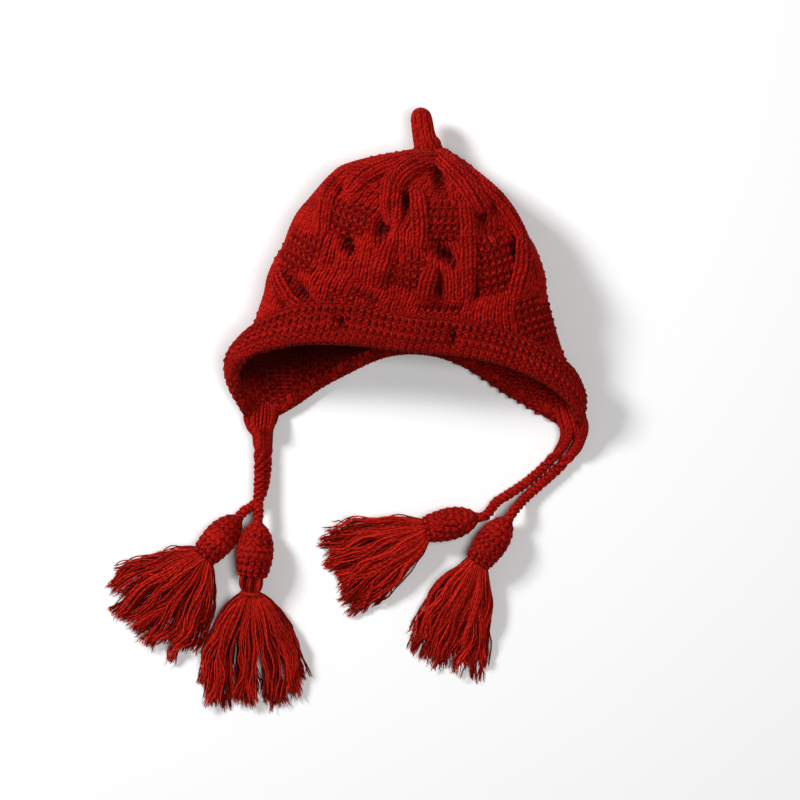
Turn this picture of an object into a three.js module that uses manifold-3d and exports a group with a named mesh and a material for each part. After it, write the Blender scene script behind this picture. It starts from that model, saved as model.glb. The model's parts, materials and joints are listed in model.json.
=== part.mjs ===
import * as THREE from 'three';
import { mergeVertices } from 'three/addons/utils/BufferGeometryUtils.js';
import Module from 'manifold-3d';

const wasm = await Module();
wasm.setup();

// A knitted hat with earflaps lies on its back on the floor. Seen from above, +X is right and +Y runs
// towards the top of the crown. +Z is up, and the floor is at zero. Lengths are in millimetres.

// Main sizes
const GAP = 0.3;
const CROWN_WALL = 4.6;
const BRIM_WALL = 5.0;
const BRIM_SEAT = 0.85;
const BRIM_FOLD = 5.2;
const BRIM_RIDGE = 0.9;
const LIFT_ON_BRIM = 5.4;
const LIFT_RUN = 16;
const SIDE_ROUND = 1.15;
const SETTLE = 1.2;
const CORD_RADIUS = 4.2;
const CORD_SIDES = 8;
const CORD_STEP = 19;
const CORD_LEAD = 8;
const CROWN_TOP = { x: 17, y: 99, z: 27 };
// Brings the middle of the crown, brim and stem over the origin
const HAT_SHIFT = { x: 0, y: -0.15 };

// How finely the forms are faceted
const COLUMNS = 58;
const CROWN_ROWS = 18;
const BRIM_ROWS = 7;
const MERIDIAN_SAMPLES = 60;
const PROBE_ANGLE = 0.02;
const PROBE_LENGTH = 0.8;

// Sections across the hat, from the ear tips up to the crown's top: the left and right outlines, the
// height of the front face, the height of the widest line, and the height of the underside.
const BODY_ROWS = [
  { y: -134, left: -126, right: 138, front: 33, side: 15, under: 0 },
  { y: -120, left: -126, right: 138.5, front: 39, side: 17, under: 0 },
  { y: -107, left: -131, right: 138, front: 45, side: 20, under: 0 },
  { y: -94, left: -136, right: 136, front: 50, side: 22, under: 0 },
  { y: -82, left: -138, right: 133, front: 55, side: 24, under: 0 },
  { y: -69, left: -136, right: 128, front: 59, side: 26, under: 0 },
  { y: -56, left: -130, right: 123.5, front: 63, side: 28, under: 0 },
  { y: -43, left: -123, right: 119.5, front: 67, side: 29, under: 0 },
  { y: -30, left: -118.5, right: 116, front: 70, side: 30, under: 0 },
  { y: -17.5, left: -114.5, right: 113, front: 73, side: 31, under: 0 },
  { y: -5, left: -112, right: 112, front: 75, side: 31, under: 0 },
  { y: 8, left: -106.5, right: 108, front: 76, side: 31, under: 0 },
  { y: 21, left: -99, right: 103, front: 76, side: 31, under: 0 },
  { y: 33.5, left: -94.5, right: 94, front: 75, side: 31, under: 0 },
  { y: 46.5, left: -88, right: 86.5, front: 72, side: 31, under: 0 },
  { y: 59, left: -77.5, right: 77, front: 68, side: 31, under: 0 },
  { y: 72, left: -66.5, right: 65, front: 61, side: 30, under: 0 },
  { y: 78.5, left: -60, right: 59, front: 57, side: 30, under: 1 },
  { y: 85, left: -51, right: 52, front: 52, side: 29, under: 4 },
  { y: 91, left: -31, right: 43, front: 46, side: 28, under: 9 },
  { y: 96, left: -4, right: 34, front: 39, side: 27.5, under: 16 },
  { y: 99, left: 17, right: 17, front: 27, side: 27, under: 27 },
];

// Round the rim, from the right side over the front: where the fold of the brim lies, where the
// brim's free edge lies, and how far that edge stands off the crown.
const RIM_ROWS = [
  { angle: 0, fold: -128, edge: -103, gape: 3 },
  { angle: 12, fold: -124, edge: -94, gape: 3 },
  { angle: 25, fold: -111, edge: -79, gape: 3 },
  { angle: 38, fold: -100, edge: -65, gape: 2 },
  { angle: 50, fold: -88, edge: -54, gape: 1.5 },
  { angle: 62, fold: -77, edge: -46, gape: 1 },
  { angle: 75, fold: -70, edge: -40, gape: 1 },
  { angle: 90, fold: -66, edge: -36, gape: 1 },
  { angle: 103, fold: -62, edge: -28, gape: 1 },
  { angle: 118, fold: -61, edge: -26, gape: 1.5 },
  { angle: 132, fold: -65, edge: -31, gape: 2 },
  { angle: 147, fold: -71, edge: -42, gape: 2 },
  { angle: 160, fold: -78, edge: -56, gape: 3 },
  { angle: 172, fold: -90, edge: -70, gape: 4 },
  { angle: 184, fold: -106, edge: -81, gape: 3 },
  { angle: 196, fold: -118, edge: -88, gape: 1.5 },
  { angle: 208, fold: -123, edge: -91, gape: 0.5 },
  { angle: 222, fold: -121, edge: -88, gape: 0 },
  { angle: 237, fold: -110, edge: -77, gape: 0 },
  { angle: 252, fold: -89, edge: -57, gape: 0 },
  { angle: 268, fold: -69, edge: -37, gape: 0 },
  { angle: 284, fold: -74, edge: -42, gape: 0 },
  { angle: 300, fold: -104, edge: -71, gape: 0 },
  { angle: 316, fold: -122, edge: -89, gape: 0 },
  { angle: 332, fold: -129, edge: -97, gape: 0.5 },
  { angle: 346, fold: -130, edge: -102, gape: 1.5 },
  { angle: 360, fold: -128, edge: -103, gape: 3 },
];

// Puffs and dents of the front face: the centre, the reach each way and the rise (down where negative).
const FRONT_RELIEF = [
  { x: -56, y: 67, reachX: 8, reachY: 8, rise: -2.5 },
  { x: -46, y: 19, reachX: 9, reachY: 11, rise: -4 },
  { x: -18, y: 34, reachX: 9, reachY: 12, rise: -4 },
  { x: -2, y: 58, reachX: 8, reachY: 11, rise: -4 },
  { x: 29, y: 70, reachX: 10, reachY: 10, rise: -4.5 },
  { x: 34, y: 10, reachX: 9, reachY: 12, rise: -4 },
  { x: 59, y: 45, reachX: 9, reachY: 13, rise: -4 },
  { x: 88, y: 22, reachX: 8, reachY: 12, rise: -3.5 },
  { x: -97, y: -25, reachX: 11, reachY: 8, rise: -4 },
  { x: 25, y: -29, reachX: 24, reachY: 6, rise: -4 },
  { x: 29, y: 40, reachX: 17, reachY: 15, rise: 2.5 },
  { x: 71, y: 3, reachX: 17, reachY: 18, rise: 2.5 },
  { x: -46, y: 44, reachX: 16, reachY: 12, rise: 2 },
  { x: -84, y: 12, reachX: 14, reachY: 12, rise: 2 },
  { x: 2, y: -6, reachX: 17, reachY: 15, rise: 2.5 },
  { x: 100, y: -40, reachX: 14, reachY: 15, rise: 2 },
];

// Ribs that fan out from the stem and fade down the crown
const GORES = { count: 12, rise: 1.1, fullAt: 78, fadeAt: 30 };

// The stem's centre line and width, from its seat on the crown to its rounded tip
const STEM_ROWS = [
  { x: 17.5, y: 96, z: 27, radius: 13.6 },
  { x: 17.3, y: 99.5, z: 27, radius: 12.4 },
  { x: 15.6, y: 103, z: 27, radius: 10.8 },
  { x: 14.2, y: 109, z: 26, radius: 10.1 },
  { x: 13.2, y: 116, z: 25, radius: 9.9 },
  { x: 12.3, y: 122, z: 24, radius: 9.5 },
  { x: 12, y: 126.5, z: 23.5, radius: 7.8 },
  { x: 12, y: 129.4, z: 23.2, radius: 5 },
];
const STEM_SIDES = 16;
const STEM_LOBES = { count: 4, rise: 0.5 };

// Routes of the four cords, each from its ear to just above its cap
const CORD_ROUTES = {
  left_near: [
    { x: -120, y: -122.9, z: 13.4 },
    { x: -118.9, y: -138, z: 13.2 },
    { x: -118.4, y: -150, z: 13 },
    { x: -118.4, y: -165, z: 13.2 },
    { x: -118.9, y: -181, z: 13.4 },
  ],
  left_far: [
    { x: -112.4, y: -123.5, z: 9.2 },
    { x: -112.2, y: -137, z: 5.6 },
    { x: -112.3, y: -150, z: 4.4 },
    { x: -113.4, y: -166, z: 4.4 },
    { x: -117, y: -180.5, z: 4.4 },
    { x: -124.6, y: -190.2, z: 4.8 },
  ],
  right_near: [
    { x: 129.6, y: -129.9, z: 11.4 },
    { x: 127.6, y: -138.8, z: 8 },
    { x: 122.5, y: -146.6, z: 4.8 },
    { x: 111.5, y: -158.3, z: 4.4 },
    { x: 97.9, y: -170.1, z: 4.4 },
    { x: 82.6, y: -180.4, z: 4.6 },
    { x: 73, y: -186.6, z: 5.6 },
  ],
  right_far: [
    { x: 140.8, y: -132.1, z: 13 },
    { x: 139.2, y: -138.4, z: 9.6 },
    { x: 133.9, y: -147.1, z: 5.2 },
    { x: 122.2, y: -160.1, z: 4.4 },
    { x: 108.4, y: -172.4, z: 4.4 },
    { x: 96.6, y: -183, z: 6 },
  ],
};

// Each cap lies along a line from where its cord enters to its mouth.
const CAPS = {
  left_near: { from: [-119.5, -203.3, 14.2], to: [-123.4, -244, 13.6], width: 1.11 },
  left_far: { from: [-135.4, -199, 7.2], to: [-162.4, -229.2, 11.6], width: 0.97 },
  right_near: { from: [57.2, -198.6, 10.4], to: [17, -208, 11.6], width: 0.95 },
  right_far: { from: [82.4, -199.8, 13.4], to: [58.4, -233.5, 12.6], width: 0.96 },
};
const CAP_SIDES = 12;
const CAP_LENGTH = 41;
// A cap's half section, along its length from the cord's end: outer wall, mouth and hollow
const CAP_SECTION = [
  { along: 0, radius: 0 },
  { along: 0, radius: 4 },
  { along: 2.5, radius: 6.6 },
  { along: 8, radius: 10.4 },
  { along: 15, radius: 12.9 },
  { along: 23, radius: 13.8 },
  { along: 31, radius: 13.2 },
  { along: 38, radius: 12 },
  { along: 41, radius: 11 },
  { along: 40.6, radius: 8.4 },
  { along: 28, radius: 8.4 },
  { along: 28, radius: 0 },
];

// Tassels: the way each fan opens (degrees from +X), the locks in it, their lengths and their spread
// across the mouth. The neck is the gathered ball between the cap and a lower tie.
const TASSELS = {
  left_near: { first: -120, last: -59, locks: 8, longFirst: 84, longLast: 83, spread: 8, wide: 13.5, neck: 16 },
  left_far: { first: -170, last: -101, locks: 7, longFirst: 76, longLast: 76, spread: 9, neck: 0, wide: 12 },
  right_near: { first: -179, last: -128, locks: 7, longFirst: 76, longLast: 78, spread: 9, neck: 0, wide: 12 },
  right_far: { first: -132, last: -88, locks: 6, longFirst: 73, longLast: 81, spread: 7, neck: 0, wide: 11 },
};
// A lock's section along its length: half width, half height and the height of its middle, as shares
// of the tassel's width and of the height of the cap's mouth
const LOCK_ROWS = [
  { along: 0, wide: 0.38, high: 0.42, lift: 1 },
  { along: 0.35, wide: 0.62, high: 0.58, lift: 0.8 },
  { along: 0.8, wide: 0.86, high: 0.5, lift: 0.46 },
  { along: 1, wide: 0.62, high: 0.3, lift: 0.34 },
];
const LOCK_SIDES = 6;
const LOCK_LENGTHS = [0.96, 1.02, 1, 1.08, 1.05, 1.07, 0.99, 0.98];
const HEAD_SIDES = 10;
const HEAD_RADIUS = 7.9;
const HEAD_DEPTH = 12.2;

// Reads a column of a table between its rows, along a smooth curve.
function readRow(rows, key, at, column) {
  let i = 0;
  while (i < rows.length - 2 && rows[i + 1][key] < at) {
    i += 1;
  }
  const before = rows[Math.max(i - 1, 0)];
  const start = rows[i];
  const end = rows[i + 1];
  const after = rows[Math.min(i + 2, rows.length - 1)];
  const span = end[key] - start[key];
  const share = Math.min(Math.max((at - start[key]) / span, 0), 1);
  const slopeStart = (end[column] - before[column]) / (end[key] - before[key]);
  const slopeEnd = (after[column] - start[column]) / (after[key] - start[key]);
  const square = share * share;
  const cube = square * share;
  return (
    (2 * cube - 3 * square + 1) * start[column] +
    (cube - 2 * square + share) * span * slopeStart +
    (3 * square - 2 * cube) * end[column] +
    (cube - square) * span * slopeEnd
  );
}

const bodyAt = (y, column) => readRow(BODY_ROWS, 'y', y, column);

function rimAt(angle, column) {
  const turn = ((THREE.MathUtils.radToDeg(angle) % 360) + 360) % 360;
  return readRow(RIM_ROWS, 'angle', turn, column);
}

// How far the underside is lifted where the crown lies on the turned-up brim
function liftAt(angle, y) {
  const past = (rimAt(angle, 'edge') + LIFT_RUN - y) / LIFT_RUN;
  return LIFT_ON_BRIM * THREE.MathUtils.smoothstep(past, 0, 1);
}

// How far the front face stands out of its smooth shape
function reliefAt(angle, x, y) {
  const fade = THREE.MathUtils.smoothstep(y, GORES.fadeAt, GORES.fullAt);
  let rise = GORES.rise * fade * Math.cos(GORES.count * angle);
  for (const puff of FRONT_RELIEF) {
    const along = (x - puff.x) / puff.reachX;
    const up = (y - puff.y) / puff.reachY;
    rise += puff.rise * Math.exp(-along * along - up * up);
  }
  return rise;
}

// A point of the crown's outer face, at an angle round the hat and a place along it
function bodyPoint(angle, y) {
  const left = bodyAt(y, 'left');
  const right = bodyAt(y, 'right');
  const front = bodyAt(y, 'front');
  const side = bodyAt(y, 'side');
  const under = Math.max(bodyAt(y, 'under'), Math.min(liftAt(angle, y), side));
  const half = Math.max((right - left) / 2, 0);
  const cos = Math.cos(angle);
  const sin = Math.sin(angle);
  const rise = sin < 0 ? (side - bodyAt(y, 'under')) * SETTLE : front - side;
  const round = Math.min(Math.abs(front - side) * SIDE_ROUND, half);
  const x = (left + right) / 2 + (half - round) * cos * (1.5 - 0.5 * cos * cos) + round * cos;
  let z = side + rise * sin;
  if (sin > 0) {
    z += reliefAt(angle, x, y) * sin;
  } else {
    z = Math.max(z, under);
  }
  return new THREE.Vector3(x, y, z);
}

// The outward direction of the crown's outer face
function bodyNormal(angle, y) {
  const round = bodyPoint(angle + PROBE_ANGLE, y).sub(bodyPoint(angle - PROBE_ANGLE, y));
  const up = bodyPoint(angle, y + PROBE_LENGTH).sub(bodyPoint(angle, y - PROBE_LENGTH));
  return up.cross(round).normalize();
}

function offBody(angle, y, distance) {
  return bodyPoint(angle, y).addScaledVector(bodyNormal(angle, y), distance);
}

// Where the crown's own rim lies, a little above the fold that wraps it
const rimHeight = (angle) => rimAt(angle, 'fold') + BRIM_FOLD;

// Evenly spaced places up the crown from its rim, the last one short of the top
function crownHeights(angle) {
  const rim = rimHeight(angle);
  const heights = [];
  const lengths = [0];
  let last = null;
  for (let i = 0; i <= MERIDIAN_SAMPLES; i += 1) {
    const y = rim + (CROWN_TOP.y - rim) * Math.sin((i / MERIDIAN_SAMPLES) * (Math.PI / 2));
    const point = bodyPoint(angle, y);
    if (last) {
      lengths.push(lengths[i - 1] + point.distanceTo(last));
    }
    heights.push(y);
    last = point;
  }
  const total = lengths[MERIDIAN_SAMPLES];
  const places = [];
  let i = 0;
  for (let row = 0; row < CROWN_ROWS; row += 1) {
    const wanted = (total * row) / CROWN_ROWS;
    while (lengths[i + 1] < wanted) {
      i += 1;
    }
    const share = (wanted - lengths[i]) / (lengths[i + 1] - lengths[i]);
    places.push(heights[i] + (heights[i + 1] - heights[i]) * share);
  }
  return places;
}

// Makes one closed body from points and triangles, with its faces pointing out.
function closedBody(points, triangles) {
  let volume = 0;
  for (const [a, b, c] of triangles) {
    volume += points[a].dot(new THREE.Vector3().crossVectors(points[b], points[c]));
  }
  const faces = volume < 0 ? triangles.map(([a, b, c]) => [a, c, b]) : triangles;
  const geometry = new THREE.BufferGeometry();
  const flat = points.flatMap((point) => [point.x, point.y, point.z]);
  geometry.setAttribute('position', new THREE.Float32BufferAttribute(flat, 3));
  geometry.setIndex(faces.flat());
  geometry.computeVertexNormals();
  return geometry;
}

function toManifold(geometry) {
  const bare = geometry.clone();
  bare.deleteAttribute('normal');
  bare.deleteAttribute('uv');
  const merged = mergeVertices(bare, 0.001);
  const mesh = new wasm.Mesh({
    numProp: 3,
    vertProperties: new Float32Array(merged.attributes.position.array),
    triVerts: new Uint32Array(merged.index.array),
  });
  return new wasm.Manifold(mesh);
}

function fromManifold(solid) {
  const mesh = solid.getMesh();
  const geometry = new THREE.BufferGeometry();
  geometry.setAttribute('position', new THREE.BufferAttribute(new Float32Array(mesh.vertProperties), 3));
  geometry.setIndex(Array.from(mesh.triVerts));
  geometry.computeVertexNormals();
  return geometry;
}

// Joins rings of points into a closed tube, with a fan over each end.
function ringBody(rings, firstTip, lastTip) {
  const count = rings[0].length;
  const points = rings.flat();
  const triangles = [];
  for (let j = 0; j < rings.length - 1; j += 1) {
    for (let i = 0; i < count; i += 1) {
      const next = (i + 1) % count;
      const a = j * count + i;
      const b = j * count + next;
      triangles.push([a, b, b + count], [a, b + count, a + count]);
    }
  }
  const first = points.push(firstTip) - 1;
  const last = points.push(lastTip) - 1;
  const top = (rings.length - 1) * count;
  for (let i = 0; i < count; i += 1) {
    const next = (i + 1) % count;
    triangles.push([first, next, i], [last, top + i, top + next]);
  }
  return closedBody(points, triangles);
}

function columnAngles() {
  return Array.from({ length: COLUMNS }, (_, i) => (i / COLUMNS) * Math.PI * 2);
}

// Rings of the crown's outer face, moved out by a distance
function crownRings(distance) {
  const columns = columnAngles().map((angle) =>
    crownHeights(angle).map((y) => offBody(angle, y, distance)),
  );
  return Array.from({ length: CROWN_ROWS }, (_, row) => columns.map((column) => column[row]));
}

function crownTip(distance) {
  return new THREE.Vector3(CROWN_TOP.x, CROWN_TOP.y + distance, CROWN_TOP.z);
}

// The way down over the rim, along the hat's face and square to the rim
function pastRim(angle) {
  const step = PROBE_ANGLE * 2;
  const ahead = bodyPoint(angle + step, rimHeight(angle + step));
  const back = bodyPoint(angle - step, rimHeight(angle - step));
  const normal = bodyNormal(angle, rimHeight(angle));
  return normal.clone().cross(ahead.sub(back)).normalize();
}

// The hollow crown: an outer and an inner face that meet along the rim. It can be grown all over.
function crownGeometry(grown) {
  const outer = crownRings(grown);
  const inner = crownRings(-CROWN_WALL - grown);
  columnAngles().forEach((angle, i) => {
    outer[0][i].addScaledVector(pastRim(angle), grown);
    inner[0][i].addScaledVector(pastRim(angle), grown);
  });
  return ringBody([...inner.reverse(), ...outer], crownTip(-CROWN_WALL - grown), crownTip(grown));
}

// The turned-up brim: it wraps the crown's rim in a rounded fold and lies up against the outside.
function brimGeometry() {
  const thick = CROWN_WALL + GAP + BRIM_WALL;
  const foldSteps = [-0.02, -0.34, -0.68, -1];
  const ring = columnAngles().map((angle) => {
    const rim = rimHeight(angle);
    const edge = rimAt(angle, 'edge');
    const gape = rimAt(angle, 'gape');
    const lower = Math.sin(angle) < -0.3;
    const section = [];
    for (let k = 0; k <= BRIM_ROWS; k += 1) {
      const share = k / BRIM_ROWS;
      const ridge = k % 2 === 1 && !lower ? BRIM_RIDGE : 0;
      const taper = k === BRIM_ROWS ? 0.8 : 0;
      section.push(
        offBody(angle, rim + (edge - rim) * share, GAP + gape * share + BRIM_WALL + ridge - taper),
      );
    }
    const overEdge = edge + 1.8;
    section.push(offBody(angle, overEdge, GAP + gape + BRIM_WALL * 0.5));
    for (const share of [1, 0.5, 0.03]) {
      section.push(offBody(angle, rim + (edge - rim) * share, BRIM_SEAT + gape * share * share));
    }
    const corner = bodyPoint(angle, rim);
    const normal = bodyNormal(angle, rim);
    const down = pastRim(angle);
    section.push(corner.clone().addScaledVector(normal, BRIM_SEAT).addScaledVector(down, BRIM_SEAT));
    section.push(corner.clone().addScaledVector(normal, -CROWN_WALL).addScaledVector(down, BRIM_SEAT));
    for (const step of foldSteps) {
      const bend = Math.PI * (0.5 + 0.5 * (1 + step));
      const across = (-CROWN_WALL + GAP + BRIM_WALL) / 2 + (thick / 2) * Math.cos(bend);
      const past = BRIM_FOLD * Math.sin(bend);
      section.push(
        corner.clone().addScaledVector(normal, across).addScaledVector(down, past),
      );
    }
    for (const point of section) {
      point.z = Math.max(point.z, 0);
    }
    return section;
  });
  const count = ring[0].length;
  const points = ring.flat();
  const triangles = [];
  for (let j = 0; j < COLUMNS; j += 1) {
    const across = ((j + 1) % COLUMNS) * count;
    for (let i = 0; i < count; i += 1) {
      const next = (i + 1) % count;
      const a = j * count;
      triangles.push([a + i, a + next, across + next], [a + i, across + next, across + i]);
    }
  }
  const whole = toManifold(closedBody(points, triangles));
  return fromManifold(whole.subtract(toManifold(crownGeometry(GAP))));
}

// A ring of points square to a direction, with lobes round it if wanted
function ringAt(centre, direction, radius, sides, lobes) {
  const up = new THREE.Vector3(0, 0, 1);
  const across = new THREE.Vector3().crossVectors(direction, up).normalize();
  const over = new THREE.Vector3().crossVectors(across, direction).normalize();
  return Array.from({ length: sides }, (_, i) => {
    const turn = (i / sides) * Math.PI * 2;
    const reach = radius + (lobes ? lobes.rise * Math.cos(lobes.count * turn) : 0);
    return centre
      .clone()
      .addScaledVector(across, reach * Math.cos(turn))
      .addScaledVector(over, reach * Math.sin(turn));
  });
}

// The stem: a short lobed nub whose flared foot is cut to the shape of the crown
function stemGeometry() {
  const centres = STEM_ROWS.map((row) => new THREE.Vector3(row.x, row.y, row.z));
  const rings = centres.map((centre, i) => {
    const before = centres[Math.max(i - 1, 0)];
    const after = centres[Math.min(i + 1, centres.length - 1)];
    const direction = after.clone().sub(before).normalize();
    return ringAt(centre, direction, STEM_ROWS[i].radius, STEM_SIDES, STEM_LOBES);
  });
  const tip = centres[centres.length - 1].clone().add(new THREE.Vector3(0, 1, 0));
  const whole = toManifold(ringBody(rings, centres[0], tip));
  const parts = whole.subtract(toManifold(crownGeometry(GAP))).decompose();
  parts.sort((a, b) => b.volume() - a.volume());
  return fromManifold(parts[0]);
}

// A cord: a round section drawn along its route, then straight up to the end of its cap
function cordGeometry(route, cap) {
  const points = route.map((point) => new THREE.Vector3(point.x, point.y, point.z));
  const from = new THREE.Vector3(...cap.from);
  const back = from.clone().sub(new THREE.Vector3(...cap.to)).normalize();
  points.push(from.clone().addScaledVector(back, CORD_LEAD), from.clone().addScaledVector(back, GAP));
  const curve = new THREE.CatmullRomCurve3(points, false, 'centripetal');
  const section = new THREE.Shape();
  for (let i = 0; i < CORD_SIDES; i += 1) {
    const turn = (i / CORD_SIDES) * Math.PI * 2;
    const place = [CORD_RADIUS * Math.cos(turn), CORD_RADIUS * Math.sin(turn)];
    if (i === 0) {
      section.moveTo(...place);
    } else {
      section.lineTo(...place);
    }
  }
  section.closePath();
  return new THREE.ExtrudeGeometry(section, {
    steps: Math.round(curve.getLength() / CORD_STEP) + 2,
    extrudePath: curve,
    bevelEnabled: false,
  });
}

// A cap: a knitted cup turned about its own line, narrow at the cord and open at the mouth
function capGeometry(cap) {
  const from = new THREE.Vector3(...cap.from);
  const to = new THREE.Vector3(...cap.to);
  const direction = to.clone().sub(from);
  const scale = direction.length() / CAP_LENGTH;
  direction.normalize();
  const ringsOf = (rows) =>
    rows.map((row) => {
      const centre = from.clone().addScaledVector(direction, row.along * scale);
      return ringAt(centre, direction, row.radius * cap.width, CAP_SIDES);
    });
  const rings = ringsOf(CAP_SECTION.slice(1, -1));
  for (const point of rings.flat()) {
    point.z = Math.max(point.z, 0);
  }
  const end = CAP_SECTION[CAP_SECTION.length - 1];
  return ringBody(rings, from, from.clone().addScaledVector(direction, end.along * scale));
}

// One lock of yarn, from the tassel's head out over the floor
function lockGeometry(root, heading, length, tassel, mouthHeight) {
  const way = new THREE.Vector3(Math.cos(heading), Math.sin(heading), 0);
  const side = new THREE.Vector3(-Math.sin(heading), Math.cos(heading), 0);
  const sections = LOCK_ROWS.map((row) => {
    const centre = root.clone().addScaledVector(way, row.along * length);
    const high = row.high * tassel.wide;
    centre.z = Math.max(mouthHeight * row.lift, high);
    return Array.from({ length: LOCK_SIDES }, (_, i) => {
      const turn = (i / LOCK_SIDES) * Math.PI * 2;
      const point = centre.clone().addScaledVector(side, row.wide * tassel.wide * Math.cos(turn));
      point.z += high * Math.sin(turn);
      return point;
    });
  });
  const end = root.clone().addScaledVector(way, length + 2);
  end.z = sections[sections.length - 1][0].z;
  return ringBody(sections, root, end);
}

// A tassel: locks that fan out of a head, which sits in the cap's mouth
function tasselGeometry(cap, tassel) {
  const from = new THREE.Vector3(...cap.from);
  const to = new THREE.Vector3(...cap.to);
  const direction = to.clone().sub(from).normalize();
  const across = new THREE.Vector3(-direction.y, direction.x, 0).normalize();
  const headRow = (along, radius) =>
    ringAt(to.clone().addScaledVector(direction, along), direction, radius, HEAD_SIDES);
  const reach = tassel.neck || 2;
  const rows = tassel.neck
    ? [
        headRow(-HEAD_DEPTH, HEAD_RADIUS * cap.width),
        headRow(0.6, HEAD_RADIUS * cap.width),
        headRow(1.5, 9.4),
        headRow(tassel.neck * 0.45, 10.8),
        headRow(tassel.neck * 0.85, 9.2),
        headRow(tassel.neck, 7.8),
        headRow(tassel.neck + 6, 8.2),
      ]
    : [
        headRow(-HEAD_DEPTH, HEAD_RADIUS * cap.width),
        headRow(0.6, HEAD_RADIUS * cap.width),
        headRow(2, 9),
        headRow(8, 9),
      ];
  const tipOf = (row) => row.reduce((sum, point) => sum.add(point), new THREE.Vector3()).divideScalar(row.length);
  let solid = toManifold(ringBody(rows, tipOf(rows[0]), tipOf(rows[rows.length - 1])));
  for (let i = 0; i < tassel.locks; i += 1) {
    const share = i / (tassel.locks - 1);
    const heading = THREE.MathUtils.degToRad(tassel.first + (tassel.last - tassel.first) * share);
    const root = to.clone().addScaledVector(direction, reach + 3);
    root.addScaledVector(across, (share - 0.5) * tassel.spread);
    const long = tassel.longFirst + (tassel.longLast - tassel.longFirst) * share;
    const length = long * LOCK_LENGTHS[i];
    const lock = toManifold(lockGeometry(root, heading, length, tassel, to.z));
    solid = solid.add(lock);
  }
  return fromManifold(solid);
}

const knitRed = (color, roughness) => new THREE.MeshStandardMaterial({ color, roughness, metalness: 0 });

const hat = new THREE.Group();
hat.name = 'knitted_earflap_hat';
hat.position.set(HAT_SHIFT.x, HAT_SHIFT.y, 0);

function place(name, geometry, material) {
  const mesh = new THREE.Mesh(geometry, material);
  mesh.name = name;
  hat.add(mesh);
}

place('crown', crownGeometry(0), knitRed(0x9a120c, 0.9));
place('turned_brim', brimGeometry(), knitRed(0x8c100b, 0.9));
place('stem', stemGeometry(), knitRed(0x9a120c, 0.9));
for (const [end, route] of Object.entries(CORD_ROUTES)) {
  place(`cord_${end}`, cordGeometry(route, CAPS[end]), knitRed(0x8e110c, 0.85));
}
for (const [end, cap] of Object.entries(CAPS)) {
  place(`cap_${end}`, capGeometry(cap), knitRed(0x98130d, 0.9));
  place(`tassel_${end}`, tasselGeometry(cap, TASSELS[end]), knitRed(0xa8170e, 0.8));
}

export default hat;
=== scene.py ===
import json
import math

import bpy
import numpy as np
from mathutils import Vector

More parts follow.
